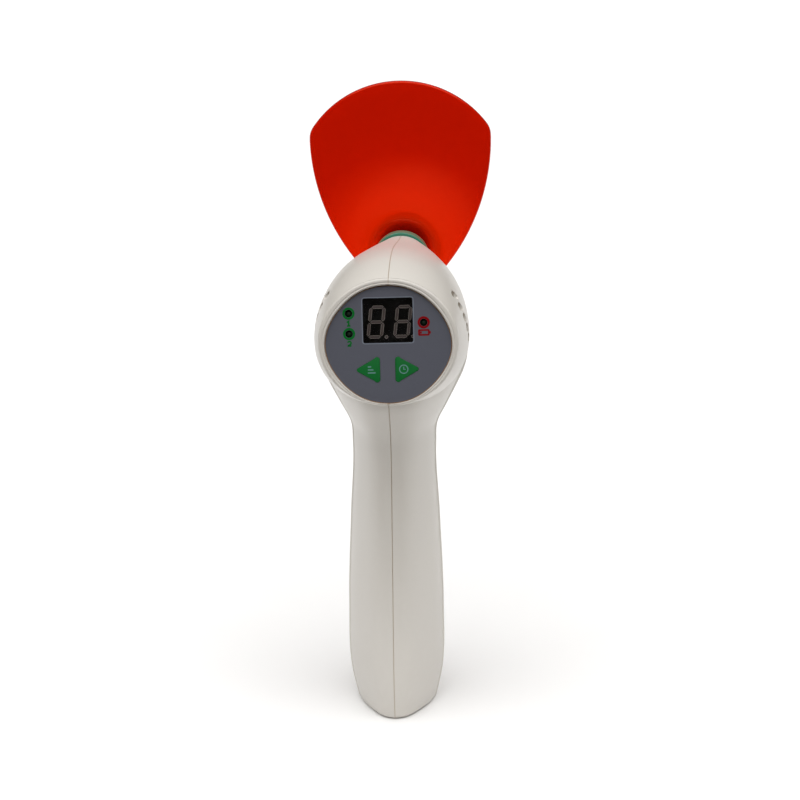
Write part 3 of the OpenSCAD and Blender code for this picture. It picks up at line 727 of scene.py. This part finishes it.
def distance_from(surface, middle, axes):
    """Distance from a point given in millimetres, counted only along the axes marked 1."""
    value = surface.where
    middle = tuple(c * MM for c in middle)
    for operation, other in (("SUBTRACT", middle), ("MULTIPLY", axes), ("LENGTH", None)):
        node = surface.node("VectorMath")
        node.operation = operation
        surface.link(value, node.inputs[0])
        if other:
            node.inputs[1].default_value = other
        value = node.outputs["Value" if operation == "LENGTH" else "Vector"]
    return value


def vent_distance(surface):
    """Distance from the nearest vent, seen from the side."""
    nearest, *others = [distance_from(surface, (0, y + 0.8, z - 0.3), (0, 1, 1)) for y, z in VENTS]
    for other in others:
        smaller = surface.node("Math")
        smaller.operation = "MINIMUM"
        surface.link(nearest, smaller.inputs[0])
        surface.link(other, smaller.inputs[1])
        nearest = smaller.outputs["Value"]
    return nearest


def moulded(name, colour, roughness=0.3, spread=0.05, grain=0.25, tone=0.12, specular=0.5):
    """Injection-moulded plastic: fine spark grain, faint flow tone and uneven gloss."""
    surface = Surface(name, colour, roughness)
    surface.vary_colour(90, tone)
    surface.vary_gloss(700, roughness - spread, roughness + spread)
    surface.relief((3000, grain * 0.5, 0.008), (260, grain * 0.4, 0.05))
    surface.put("IOR", 1.5)
    surface.put("Specular IOR Level", specular)
    return surface


def metal(name, colour, roughness=0.25, stretch=(1, 40, 1)):
    """Machined metal: fine tool marks along one way, and handling smudges."""
    surface = Surface(name, colour, roughness)
    surface.put("Metallic", 1)
    surface.vary_gloss(300, roughness * 0.7, roughness * 1.4)
    surface.vary_colour(500, 0.15)
    surface.relief((900, 0.15, 0.01, stretch))
    return surface


def housing_material():
    surface = Surface("housing_ivory", (0.65, 0.622, 0.578), 0.31)
    surface.put("IOR", 1.5)
    tone = surface.tint(surface.spread(surface.noise(45, 4), 0, 0.35), (0.63, 0.598, 0.548))
    grain = surface.spread(surface.noise(700, 2), 0, 0.12, 0.35, 0.65)
    tone = surface.tint(grain, (0.61, 0.58, 0.53), tone)
    # Painted shade: the housing turns dark tan round each vent, standing in for the shade inside the pits and
    # scoops.
    painted_vent_shade = surface.spread(vent_distance(surface), 0.85, 0, 0.001, 0.0017)
    tone = surface.tint(painted_vent_shade, (0.22, 0.165, 0.10), tone)
    seam = surface.spread(distance_from(surface, (0, 0, 0), (1, 0, 0)), 0.5, 0, 0.00008, 0.0002)
    surface.link(surface.tint(seam, (0.42, 0.31, 0.19), tone), surface.shader.inputs["Base Color"])
    surface.relief((320, 0.02, 0.03), (110, 0.04, 0.05))
    return surface.material


def film_material():
    """Matt hard-coated polyester with a very fine velvet texture."""
    surface = Surface("film_grey", (0.095, 0.100, 0.127), 0.46)
    surface.vary_colour(1600, 0.3, (0.086, 0.090, 0.113))
    surface.vary_gloss(300, 0.44, 0.5)
    surface.relief((1500, 0.05, 0.02), (240, 0.02, 0.05))
    surface.put("IOR", 1.5)
    surface.put("Specular IOR Level", 0.35)
    return surface.material


def ink(name, colour, roughness):
    """Screen-printed ink: slightly uneven cover and a faint mesh texture."""
    surface = Surface(name, colour, roughness)
    surface.put("Specular IOR Level", 0.08)
    surface.vary_colour(1800, 0.3)
    surface.relief((1500, 0.05, 0.01))
    return surface


def shield_material():
    """Polished translucent red-orange acrylic with faint moulding streaks, and a painted glow round the hub.
    """
    surface = Surface("shield_orange", (0.67, 0.009, 0.0), 0.2)
    surface.put("Transmission Weight", 0.5)
    surface.put("IOR", 1.6)
    surface.put("Specular IOR Level", 0.9)
    surface.put("Specular Tint", (1.0, 0.12, 0.05, 1))
    # Painted light: an emission makes the shield glow, dim at the bore, strongest in a ring round the hub and
    # fading outward.
    surface.put("Emission Strength", 1.0)
    painted_glow = surface.node("ValToRGB")
    painted_glow.color_ramp.elements[0].color = (0, 0, 0, 1)
    painted_glow.color_ramp.elements[1].color = (0.02, 0.0, 0.0, 1)
    painted_glow_ramp = ((0.12, 0.01, 0), (0.2, 0.05, 0.002), (0.28, 0.14, 0.008), (0.45, 0.14, 0.006), (0.8, 0.03, 0.0))
    for place, red, green in painted_glow_ramp:
        painted_glow.color_ramp.elements.new(place).color = (red, green, 0, 1)
    hub_distance = distance_from(surface, (0, 0, NOSE_Z), (1, 0, 1))
    surface.link(surface.spread(hub_distance, 0, 1, 0, 0.04), painted_glow.inputs["Fac"])
    surface.link(painted_glow.outputs["Color"], surface.shader.inputs["Emission Color"])
    surface.vary_gloss(120, 0.10, 0.16)
    surface.vary_colour(60, 0.3, (0.63, 0.008, 0.0))
    surface.relief((90, 0.04, 0.15, (1, 1, 0.4)), (1500, 0.01, 0.01))
    return surface.material


def collar_material():
    surface = moulded("collar_teal", (0.028, 0.215, 0.135), 0.34, 0.05, 0.2)
    surface.put("Coat Weight", 0.2)
    surface.put("Coat Roughness", 0.2)
    return surface.material


def glass(name, colour, roughness, ior, specular):
    surface = Surface(name, colour, roughness)
    surface.put("Transmission Weight", 1.0)
    surface.put("IOR", ior)
    surface.put("Specular IOR Level", specular)
    surface.vary_gloss(250, roughness, roughness + 0.04)
    surface.relief((300, 0.02, 0.02))
    return surface


def rubber(name, colour, roughness=0.6):
    surface = Surface(name, colour, roughness)
    surface.vary_colour(400, 0.3)
    surface.vary_gloss(900, roughness - 0.08, roughness + 0.1)
    surface.relief((5000, 0.35, 0.02))
    surface.put("Sheen Weight", 0.15)
    return surface


def board_material():
    """Green solder mask with pale tracks under it."""
    surface = Surface("board_green", (0.012, 0.13, 0.045), 0.3)
    tracks = surface.node(
        "TexBrick", scale=260, mortar_size=0.03, mortar=(0.03, 0.24, 0.08, 1),
        color1=(0.012, 0.13, 0.045, 1), color2=(0.010, 0.11, 0.038, 1))
    surface.link(surface.where, tracks.inputs["Vector"])
    surface.link(tracks.outputs["Color"], surface.shader.inputs["Base Color"])
    surface.vary_gloss(800, 0.24, 0.4)
    surface.relief((3000, 0.15, 0.02))
    return surface.material


MATERIALS = {
    "housing": housing_material(),
    "overlay": film_material(),
    "board_green": board_material(),
    "collar_teal": collar_material(),
    "shield_orange": shield_material(),
}
# Moulded: colour, roughness, gloss spread, grain, tone, specular. Metal: colour, roughness, way of its marks.
# Rubber and ink: colour, roughness. Glass: colour, roughness, IOR, specular.
FINISHES = [
    (moulded, {
        "dark_plastic": ((0.022, 0.021, 0.022), 0.45, 0.08, 0.4),
        "key_green": ((0.001, 0.135, 0.022), 0.5, 0.05, 0.3, 0.2, 0.25),
        "display_black": ((0.004, 0.004, 0.0045), 0.4, 0.06, 0.2, 0.12, 0.15),
        "segment": ((0.13, 0.103, 0.092), 0.5, 0.08, 0.3),
        "segment_edge": ((0.46, 0.40, 0.36), 0.45, 0.08, 0.3),
        "lamp_green": ((0.012, 0.030, 0.014), 0.5, 0.06, 0.1, 0.12, 0.2),
        "lamp_red": ((0.010, 0.024, 0.012), 0.5, 0.06, 0.1, 0.12, 0.2),
        "trigger_grey": ((0.42, 0.40, 0.37), 0.42, 0.07, 0.5),
        "cell_wrap": ((0.03, 0.15, 0.40), 0.22, 0.05, 0.3),
        "emitter_white": ((0.80, 0.80, 0.79), 0.4),
        "emitter_yellow": ((0.74, 0.60, 0.10), 0.15),
        "guide_dark": ((0.030, 0.012, 0.010), 0.09, 0.04, 0.08),
        # Colour of the painted shade in the gap round the film's edge.
        "painted_rim_shade": ((0.24, 0.14, 0.075), 0.5),
    }),
    (metal, {
        "steel": ((0.60, 0.59, 0.57), 0.24, (40, 1, 1)),
        "gold_plate": ((0.83, 0.62, 0.27), 0.22),
        "sink_aluminium": ((0.70, 0.71, 0.73), 0.3, (1, 60, 1)),
        "reflector_bright": ((0.9, 0.9, 0.9), 0.08),
    }),
    (rubber, {
        "foam": ((0.03, 0.03, 0.032), 0.9),
        "lead_red": ((0.42, 0.02, 0.02), 0.4),
        "lead_white": ((0.68, 0.68, 0.66), 0.4),
        "lead_black": ((0.02, 0.02, 0.02), 0.4),
        "seal_rubber": ((0.022, 0.022, 0.024),),
    }),
    (ink, {
        "ink_green": ((0.001, 0.135, 0.018), 0.5),
        "ink_red": ((0.22, 0.0, 0.002), 0.5),
        "ink_pale": ((0.20, 0.225, 0.27), 0.4),
        "ink_legend": ((0.13, 0.27, 0.25), 0.4),
    }),
    (glass, {
        "clear_window": ((0.74, 0.74, 0.75), 0.03, 1.2, 0.1),
        "clear_glass": ((0.93, 0.96, 0.97), 0.02, 1.46, 0.5),
    }),
]
for make, rows in FINISHES:
    for finish, values in rows.items():
        MATERIALS[finish] = make(finish, *values).material


def paint(piece, material):
    piece.data.materials.clear()
    piece.data.materials.append(MATERIALS[material])
    return piece


def dress(piece, slot_name, body, nodes=()):
    """Gives a new piece its material, slot, body and the CAD nodes it stands for."""
    if not any(piece.data.materials):
        paint(piece, slot_name)
    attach(piece, body)
    if nodes:
        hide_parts(*nodes)
    return piece


def dress_cad_nodes():
    """Every CAD node that stays in view gets the material of its slot."""
    for part in frame["record"]["subparts"]:
        piece = frame["nodes"][part["node"]]
        piece.data.materials.clear()
        piece.data.materials.append(MATERIALS[part["material_slot"]])


# ---- Pieces ----

def build_housing():
    left, right = housing()
    dress(left, "housing", "handpiece", ["left_shell"])
    dress(right, "housing", "handpiece", ["right_shell"])


LAMPS = [(-11.05, 8.95, "mode1_led"), (-11.0, 3.2, "mode2_led"), (10.1, 6.0, "low_battery_led")]
WINDOW = (0, 6.8, 14.1, 12.6)
KEY_X = {-1: -2.5, 1: 1.85}
KEY_Y = -7.05
KEY_LEN = 6.5
KEY_HALF = 3.55
KEY_ROUND = 0.8


def key_outline(side, extra=0.0, steps=10):
    """Triangle with round corners, its tip pointing to the side."""
    r = KEY_ROUND + extra
    x0 = KEY_X[side]
    foot = KEY_HALF - KEY_ROUND
    corners = [(x0 + side * (KEY_LEN - KEY_ROUND), KEY_Y)]
    corners += [(x0 + side * KEY_ROUND, KEY_Y + foot), (x0 + side * KEY_ROUND, KEY_Y - foot)]
    lean = pi / 2 - atan2(KEY_LEN - 2 * KEY_ROUND, foot)
    spans = [(-lean, lean), (lean, pi), (pi, 2 * pi - lean)]
    out = []
    for (cx, cy), (a0, a1) in zip(corners, spans):
        for a in np.linspace(a0, a1, steps):
            out.append((cx + side * r * cos(a), cy + r * sin(a)))
    return out


def build_overlay():
    """Film with its openings, its printed rings, numerals and icons."""
    film = oval_solid("panel_film", SEAT_RX - 0.26, SEAT_RY - 0.26, -FILM_T, 0)
    combine(film, tile("opening", rounded_box(*WINDOW, 0.55), -2, 2))
    for side in (-1, 1):
        combine(film, tile("opening", key_outline(side, 0.06), -2, 2))
    for x, y, _ in LAMPS:
        combine(film, tile("opening", circle(x, y, 1.05), -2, 2))
    paint(film, "overlay")
    edges = film.modifiers.new("edges", "BEVEL")
    edges.width = 0.06 * MM
    edges.segments = 2
    edges.limit_method = "ANGLE"
    edges.angle_limit = radians(30)
    apply_modifiers(film)
    shade_by_area(film)
    dress(film, "overlay", "handpiece", ["panel_overlay"])
    # Painted shade: a dark amber-brown band round the film's edge stands in for the shade in the gap between
    # film and rim.
    edge = oval_outline(SEAT_RX + 0.03, SEAT_RY + 0.03)
    rim_shade = frame_tile("film_rim_shade", edge, 0.34, -FILM_T, -0.06, on_panel)
    paint(rim_shade, "painted_rim_shade")
    dress(rim_shade, "overlay", "handpiece")
    prints = []

    def printed(name, outline, material):
        prints.append(paint(tile(name, outline, -0.02, 0.018), material))

    def band(outline, width, material):
        prints.append(paint(frame_tile("band", outline, width, -0.02, 0.018), material))

    x, y, w, h = WINDOW
    band(rounded_box(x, y, w + 0.62, h + 0.62, 0.8), 0.24, "ink_pale")
    for x, y, node in LAMPS:
        band(circle(x, y, 1.72), 0.62, "ink_red" if node == "low_battery_led" else "ink_green")
    one = [[(-0.5, 0.36), (0.05, 0.72), (0.05, -0.66)], [(-0.46, -0.6), (0.54, -0.6)]]
    curve = [(0.48 * cos(a), 0.22 + 0.45 * sin(a)) for a in np.radians(np.linspace(165, -35, 12))]
    two = [curve + [(-0.40, -0.56)], [(-0.56, -0.6), (0.54, -0.6)]]
    for strokes, (cx, cy) in ((one, (-11.1, 6.06)), (two, (-10.95, 0.42))):
        for path in strokes:
            printed("numeral", stroke([(cx + px, cy + py) for px, py in path], 0.42), "ink_green")
    bx, by = 10.1, 3.17
    band(rounded_box(bx, by, 3.2, 1.8, 0.3), 0.46, "ink_red")
    printed("cell_nub", rounded_box(bx + 1.75, by, 0.4, 0.7, 0.1), "ink_red")
    printed("cell_level", rounded_box(bx - 0.84, by, 0.5, 0.62, 0.05), "ink_red")
    art = merge_pieces("panel_print", prints)
    dress(art, "overlay", "handpiece")


def build_window():
    x, y, w, h = WINDOW
    window = tile("display_lens", rounded_box(x, y, w - 0.12, h - 0.12, 0.5), -0.4, -0.06, edge=0.04)
    shade(window)
    dress(window, "clear_window", "handpiece", ["display_window"])


DIGIT_SLANT = tan(radians(7))


def bar_outline(length, half):
    """Light bar with pointed ends."""
    e = length / 2
    return [(-e, 0), (half - e, half), (e - half, half), (e, 0), (e - half, -half), (half - e, -half)]


def build_digits():
    """Two slanted seven-bar digits, each bar a pale rim round a darker sunk window, and two points."""
    pieces = []
    bar_w = 0.95
    w = 4.7 - bar_w
    h = (9.3 - bar_w) / 2
    face = -FILM_T - 0.3

    def add_light(rim, width, core, rise):
        pieces.append(paint(frame_tile("light_rim", rim, width, face - 0.02, face + 0.09), "segment_edge"))
        pieces.append(paint(tile("light", core, face - 0.02, face + rise), "segment"))

    for cx, cy in ((-3.3, 6.4), (4.2, 6.4)):
        bars = [(0, v * h, False, w - 0.34) for v in (-1, 0, 1)]
        bars += [(s * w / 2, v * h, True, h - 0.34) for s in (-1, 1) for v in (-0.5, 0.5)]
        for bx, by, upright, length in bars:

            def lay(points):
                out = []
                for px, py in points:
                    qx, qy = (bx - py, by + px) if upright else (bx + px, by + py)
                    out.append((cx + qx + DIGIT_SLANT * qy, cy + qy))
                return out

            add_light(lay(bar_outline(length, 0.44)), 0.11, lay(bar_outline(length - 0.16, 0.37)), 0.06)
        point = (cx + 2.8, cy - 4.25)
        add_light(circle(*point, 0.5, 28), 0.14, circle(*point, 0.37, 28), 0.04)
    digits = merge_pieces("digit_bars", pieces)
    dress(digits, "segment", "handpiece", ["display_digits"])


def build_keys():
    for side, node, body in ((-1, "mode_key", "mode_key_body"), (1, "time_key", "time_key_body")):
        top = 0.12
        foot = -FILM_T - 2.3
        pieces = [shade(tile(node + "_cap", key_outline(side), foot, top, edge=0.1))]
        pieces.append(tile("flange", key_outline(side, 0.6), foot - 0.8, foot))
        for piece in pieces:
            paint(piece, "key_green")
        cx = KEY_X[side] + side * 2.35
        ink_span = (top - 0.02, top + 0.015)
        if side < 0:
            for i, length in enumerate((1.0, 1.6, 2.2)):
                mark = rounded_box(cx + (length - 2.2) / 2, KEY_Y + 0.85 - 0.85 * i, length, 0.38, 0.1, 4)
                pieces.append(paint(tile("legend", mark, *ink_span), "ink_legend"))
        else:
            hands = stroke([(cx, KEY_Y + 0.72), (cx, KEY_Y - 0.05), (cx + 0.55, KEY_Y - 0.05)], 0.26)
            pieces.append(paint(frame_tile("legend", circle(cx, KEY_Y, 1.32), 0.3, *ink_span), "ink_legend"))
            pieces.append(paint(tile("hands", hands, *ink_span), "ink_legend"))
        whole = merge_pieces(node + "_cap", pieces)
        dress(whole, "key_green", body, [node])


def build_lamps():
    """Clear lamp bodies with a domed top just under the film."""
    for x, y, node in LAMPS:
        tip = -FILM_T - 0.15
        rings = []
        stations = [(1.5, tip - 3.4), (1.5, tip - 1.9), (1.48, tip - 1.7), (1.08, tip - 1.15)]
        for a in np.radians(np.linspace(0, 84, 9)):
            stations.append((1.05 * cos(a), tip - 1.05 + 1.05 * sin(a)))
        for r, out in stations:
            rings.append([on_layout(px, py, out) for px, py in circle(x, y, r, 40)])
        slot_name = "lamp_red" if node == "low_battery_led" else "lamp_green"
        pieces = [paint(shade(loft(node + "_lens", rings)), slot_name)]
        for px in (x - 0.7, x + 0.7):
            pin = rod_between("pin", on_layout(px, y, -8), on_layout(px, y, tip - 3.3), 0.25, steps=16)
            pieces.append(paint(pin, "steel"))
        whole = merge_pieces(node + "_lens", pieces)
        dress(whole, slot_name, "handpiece", [node])


def build_nose():
    """Collar and ferrule at full smoothness."""
    collar = turned("collar_turned", rounded_profile(
        [(5.55, 43.2), (7.9, 43.2), (7.9, 44.9), (6.8, 44.9), (6.8, 55.3), (8.8, 55.3),
         (8.8, COLLAR_END), (5.55, COLLAR_END)],
        [0, 0.2, 0, 0, 0, 0.3, 0.9, 0.5]))
    shade(collar)
    dress(collar, "collar_teal", "handpiece", ["nose_collar"])
    ferrule = turned("ferrule_turned", rounded_profile(
        [(4, 46), (5.5, 46), (5.5, 50.4), (4.38, 50.4), (4.38, 51.6), (5.5, 51.6), (5.5, 60.4), (6.8, 60.4),
         (6.8, 62.8), (5.1, 68), (4, 68)],
        [0, 0.4, 0.1, 0, 0, 0.1, 0.1, 0.2, 0.8, 0.3, 0.2]))
    shade(ferrule)
    dress(ferrule, "steel", "guide_body", ["guide_ferrule"])


GUIDE_BEND = radians(60)
GUIDE_BEND_R = 20
GUIDE_TIP = 13
ROD_Y = (47, 92)
ROD_R = 4


def rod_axis():
    """Points and directions along the light guide: straight, bent down, then straight to its tip."""
    out = [((0, y, NOSE_Z), 0.0) for y in np.linspace(ROD_Y[0], ROD_Y[1], 12)]
    for a in np.linspace(0, GUIDE_BEND, 24)[1:]:
        out.append(((0, ROD_Y[1] + GUIDE_BEND_R * sin(a), NOSE_Z - GUIDE_BEND_R * (1 - cos(a))), a))
    y0 = ROD_Y[1] + GUIDE_BEND_R * sin(GUIDE_BEND)
    z0 = NOSE_Z - GUIDE_BEND_R * (1 - cos(GUIDE_BEND))
    for s in np.linspace(0, GUIDE_TIP, 6)[1:]:
        out.append(((0, y0 + s * cos(GUIDE_BEND), z0 - s * sin(GUIDE_BEND)), GUIDE_BEND))
    return out


def build_rod():
    axis = rod_axis()
    sideways = np.array([1, 0, 0])
    rings = []
    for i, (middle, a) in enumerate(axis):
        end = i in (0, len(axis) - 1)
        across = np.array([0, sin(a), cos(a)])
        along = np.array([0, cos(a), -sin(a)])
        steps = [(ROD_R - 0.02, 0)]
        if end:
            sign = -1 if i == 0 else 1
            steps = [(ROD_R - 0.02, -0.25 * sign), (ROD_R - 0.09, -0.07 * sign), (ROD_R - 0.27, 0)][::sign]
        for r, shift in steps:
            centre = np.array(middle) + along * shift
            rings.append([centre + r * (cos(t) * sideways + sin(t) * across) for t in full_turn(64)])
    rod = loft("guide_rod_clad", rings)
    shade(rod, radians(50))
    dress(rod, "guide_dark", "guide_body", ["light_guide_rod"])


SHIELD_Y = 71
SHIELD_T = 2.2
SHIELD_LEAN = radians(1.2)
TUBE_END = 15
BUSH_R = ROD_R + 1.2


def shield_radius_table():
    """Outline of the shield as radius against angle: a wide arc on top, long side arcs, round corners."""
    corner = np.array([22.5, 36.5])
    corner_r = 6.5
    side_r = 66
    top = 54.45
    lift = top - corner[1] - corner_r
    top_mid = corner[1] - (corner[0] ** 2 - lift ** 2) / (2 * lift)
    top_r = top - top_mid
    side_mid = np.array([corner[0] + corner_r - side_r, corner[1]])
    bottom_r = side_r - np.linalg.norm(side_mid)
    corner_a = atan2(corner[1] - top_mid, corner[0])
    side_a = atan2(side_mid[1], -side_mid[0])
    points = [(bottom_r * cos(a), bottom_r * sin(a)) for a in np.linspace(-pi / 2, -side_a, 30)]
    points += [tuple(side_mid + side_r * np.array([cos(a), sin(a)])) for a in np.linspace(-side_a, 0, 80)]
    points += [tuple(corner + corner_r * np.array([cos(a), sin(a)])) for a in np.linspace(0, corner_a, 40)]
    points += [(top_r * cos(a), top_mid + top_r * sin(a)) for a in np.linspace(corner_a + 0.01, pi / 2, 60)]
    angles = np.array([atan2(y, x) for x, y in points])
    radii = np.array([hypot(x, y) for x, y in points])
    order = np.argsort(angles)
    return angles[order], radii[order]


def build_shield():
    """Shield as one swept skin: flat blade, raised lip round the hub, funnel, and a tube for the bush.
    Below the hub, where the blade is short, the lip outside stiff_r is squeezed to fit it."""
    table_a, table_r = shield_radius_table()
    edge = 0.75
    stiff_r = 7
    hub_r = 14.5
    hub_rear = [(hub_r, 0.0), (13.4, -0.03), (12.4, -0.12), (11.6, -0.25), (10.9, -0.36), (10.4, -0.4),
                (9.9, -0.34), (9.5, -0.12), (9.1, 0.3), (8.7, 0.85)]
    funnel = [(8.1, 1.7), (7.2, 2.9), (6.3, 4.1), (5.4, 5.3), (4.7, 6.15), (4.35, 6.5), (ROD_R + 0.25, 6.75)]
    front = [(ROD_R + 0.25, 8.0), (BUSH_R, 8.0), (BUSH_R, TUBE_END - 0.2), (BUSH_R + 0.2, TUBE_END),
             (BUSH_R + 1.5, TUBE_END), (BUSH_R + 1.75, TUBE_END - 0.25), (BUSH_R + 1.8, 9.6),
             (BUSH_R + 1.95, 8.9), (7.9, 7.4), (8.9, 5.4), (9.7, 3.8), (10.2, 3.0), (10.9, 2.5), (12, 2.25),
             (hub_r, SHIELD_T)]
    rings = []
    steps = 288
    for i in range(steps):
        a = 2 * pi * i / steps - pi
        mirrored = a if abs(a) <= pi / 2 else copysign(pi, a) - a
        reach = float(np.interp(mirrored, table_a, table_r))
        start = min(hub_r, reach - 1.6)
        squeeze = (start - stiff_r) / (hub_r - stiff_r)
        profile = []
        for s in np.linspace(0, 1, 12)[:-1]:
            profile.append((start + (reach - edge - start) * (1 - s), 0.0))
        for r, y in hub_rear + funnel + front:
            profile.append((stiff_r + (r - stiff_r) * squeeze if r > stiff_r else r, y))
        for s in np.linspace(0, 1, 12)[1:]:
            profile.append((start + (reach - edge - start) * s, SHIELD_T))
        for k in range(1, 8):
            t = pi / 2 * (1 - k / 4)
            profile.append((reach - edge + edge * cos(t), SHIELD_T / 2 + SHIELD_T / 2 * sin(t)))
        lean = a + SHIELD_LEAN
        rings.append([(r * cos(lean), SHIELD_Y + y, NOSE_Z + r * sin(lean)) for r, y in profile])
    shield = loft("shield_blade", rings, closed=True)
    shade(shield, radians(45))
    dress(shield, "shield_orange", "shield_body", ["light_shield"])
    bush = turned("bush_turned", rounded_profile(
        [(ROD_R + 0.05, 79), (BUSH_R, 79), (BUSH_R, 85), (ROD_R + 0.05, 85)], [0.15, 0.15, 0.15, 0.15]))
    shade(bush)
    dress(bush, "seal_rubber", "shield_body", ["shield_bush"])


def build_trigger():
    """Button with a flange behind, rounded front edge and a hollow for the fingertip."""
    sections = [(15.6, 6.2, 10.2), (17.0, 6.2, 10.2), (17.001, 5.0, 9.0), (22.4, 5.0, 9.0)]
    for a in np.radians([15, 30, 45, 60, 75, 90]):
        r = 1.5
        sections.append((22.4 + r * sin(a), 5.0 - r * (1 - cos(a)), 9.0 - r * (1 - cos(a))))
    button = stadium_solid("trigger_cap", sections)
    combine(button, rod_between("finger", (-15, 62, TRIGGER_Z), (15, 62, TRIGGER_Z), 39, steps=220))
    combine(button, rod_between("pocket", (0, 14, TRIGGER_Z + 5), (0, 18.1, TRIGGER_Z + 5), 2.4))
    shade(button)
    dress(button, "trigger_grey", "trigger_body", ["trigger_button"])


# ---- Studio ----

def build_camera():
    pitch = radians(16)
    yaw = radians(3)
    roll = radians(0.75)
    ahead = Vector((-sin(yaw) * cos(pitch), cos(yaw) * cos(pitch), -sin(pitch)))
    right = Vector((cos(yaw), sin(yaw), 0))
    up = right.cross(ahead)
    rolled_right = right * cos(roll) - up * sin(roll)
    rolled_up = right * sin(roll) + up * cos(roll)
    data = bpy.data.cameras.new("camera")
    data.lens = 95.85
    data.sensor_width = 36
    camera = add_object("camera", data)
    turn = Matrix((rolled_right, rolled_up, -ahead)).transposed().to_4x4()
    camera.matrix_world = Matrix.Translation((0.033486, -0.602914, 0.268261)) @ turn
    bpy.context.scene.camera = camera


def softbox(name, place, power):
    """Soft light from the side, turned to the middle of the lamp."""
    data = bpy.data.lights.new(name, "AREA")
    data.shape = "RECTANGLE"
    data.size, data.size_y = 0.6, 0.8
    data.energy = power
    lamp = add_object(name, data)
    way = Vector((0, 0, 0.09)) - Vector(place)
    lamp.rotation_euler = way.to_track_quat("-Z", "Y").to_euler()
    lamp.location = place


def overhead_light(strength, spread, lean):
    """One very soft light from above, leaning towards the camera's side by a few degrees."""
    data = bpy.data.lights.new("overhead", "SUN")
    data.energy = strength
    data.angle = radians(spread)
    add_object("overhead", data).rotation_euler = (radians(lean), 0, 0)


def backdrop_world(tree):
    """White to look at, but only a weak warm fill as a light."""
    shown = tree.nodes["Background"]
    shown.inputs["Color"].default_value = (1, 1, 1, 1)
    fill = tree.nodes.new("ShaderNodeBackground")
    fill.inputs["Color"].default_value = (1, 0.9, 0.76, 1)
    fill.inputs["Strength"].default_value = 0.09
    pick = tree.nodes.new("ShaderNodeMixShader")
    path = tree.nodes.new("ShaderNodeLightPath")
    tree.links.new(path.outputs["Is Camera Ray"], pick.inputs["Fac"])
    tree.links.new(fill.outputs["Background"], pick.inputs[1])
    tree.links.new(shown.outputs["Background"], pick.inputs[2])
    tree.links.new(pick.outputs["Shader"], tree.nodes["World Output"].inputs["Surface"])


def build_studio():
    scene = bpy.context.scene
    scene.view_settings.view_transform = "Standard"
    world = bpy.data.worlds.new("studio")
    scene.world = world
    world.use_nodes = True
    backdrop_world(world.node_tree)
    overhead_light(3.6, 80, 15)
    softbox("left_box", (-0.85, 0.0, 0.35), 0.25)
    softbox("right_box", (0.9, 0.0, 0.35), 0.35)
    mesh = bpy.data.meshes.new("studio_floor")
    side, near, far = 12, -0.15, 14
    mesh.from_pydata([(-side, near, 0), (side, near, 0), (side, far, 0), (-side, far, 0)], [], [(0, 1, 2, 3)])
    floor = add_object("studio_floor", mesh)
    surface = Surface("floor_white", (0.95, 0.95, 0.95), 0.8)
    surface.put("Specular IOR Level", 0.2)
    surface.vary_colour(30, 0.04)
    mesh.materials.append(surface.material)


build_camera()
build_studio()
dress_cad_nodes()
build_housing()
build_overlay()
build_window()
build_digits()
build_keys()
build_lamps()
build_nose()
build_rod()
build_shield()
build_trigger()
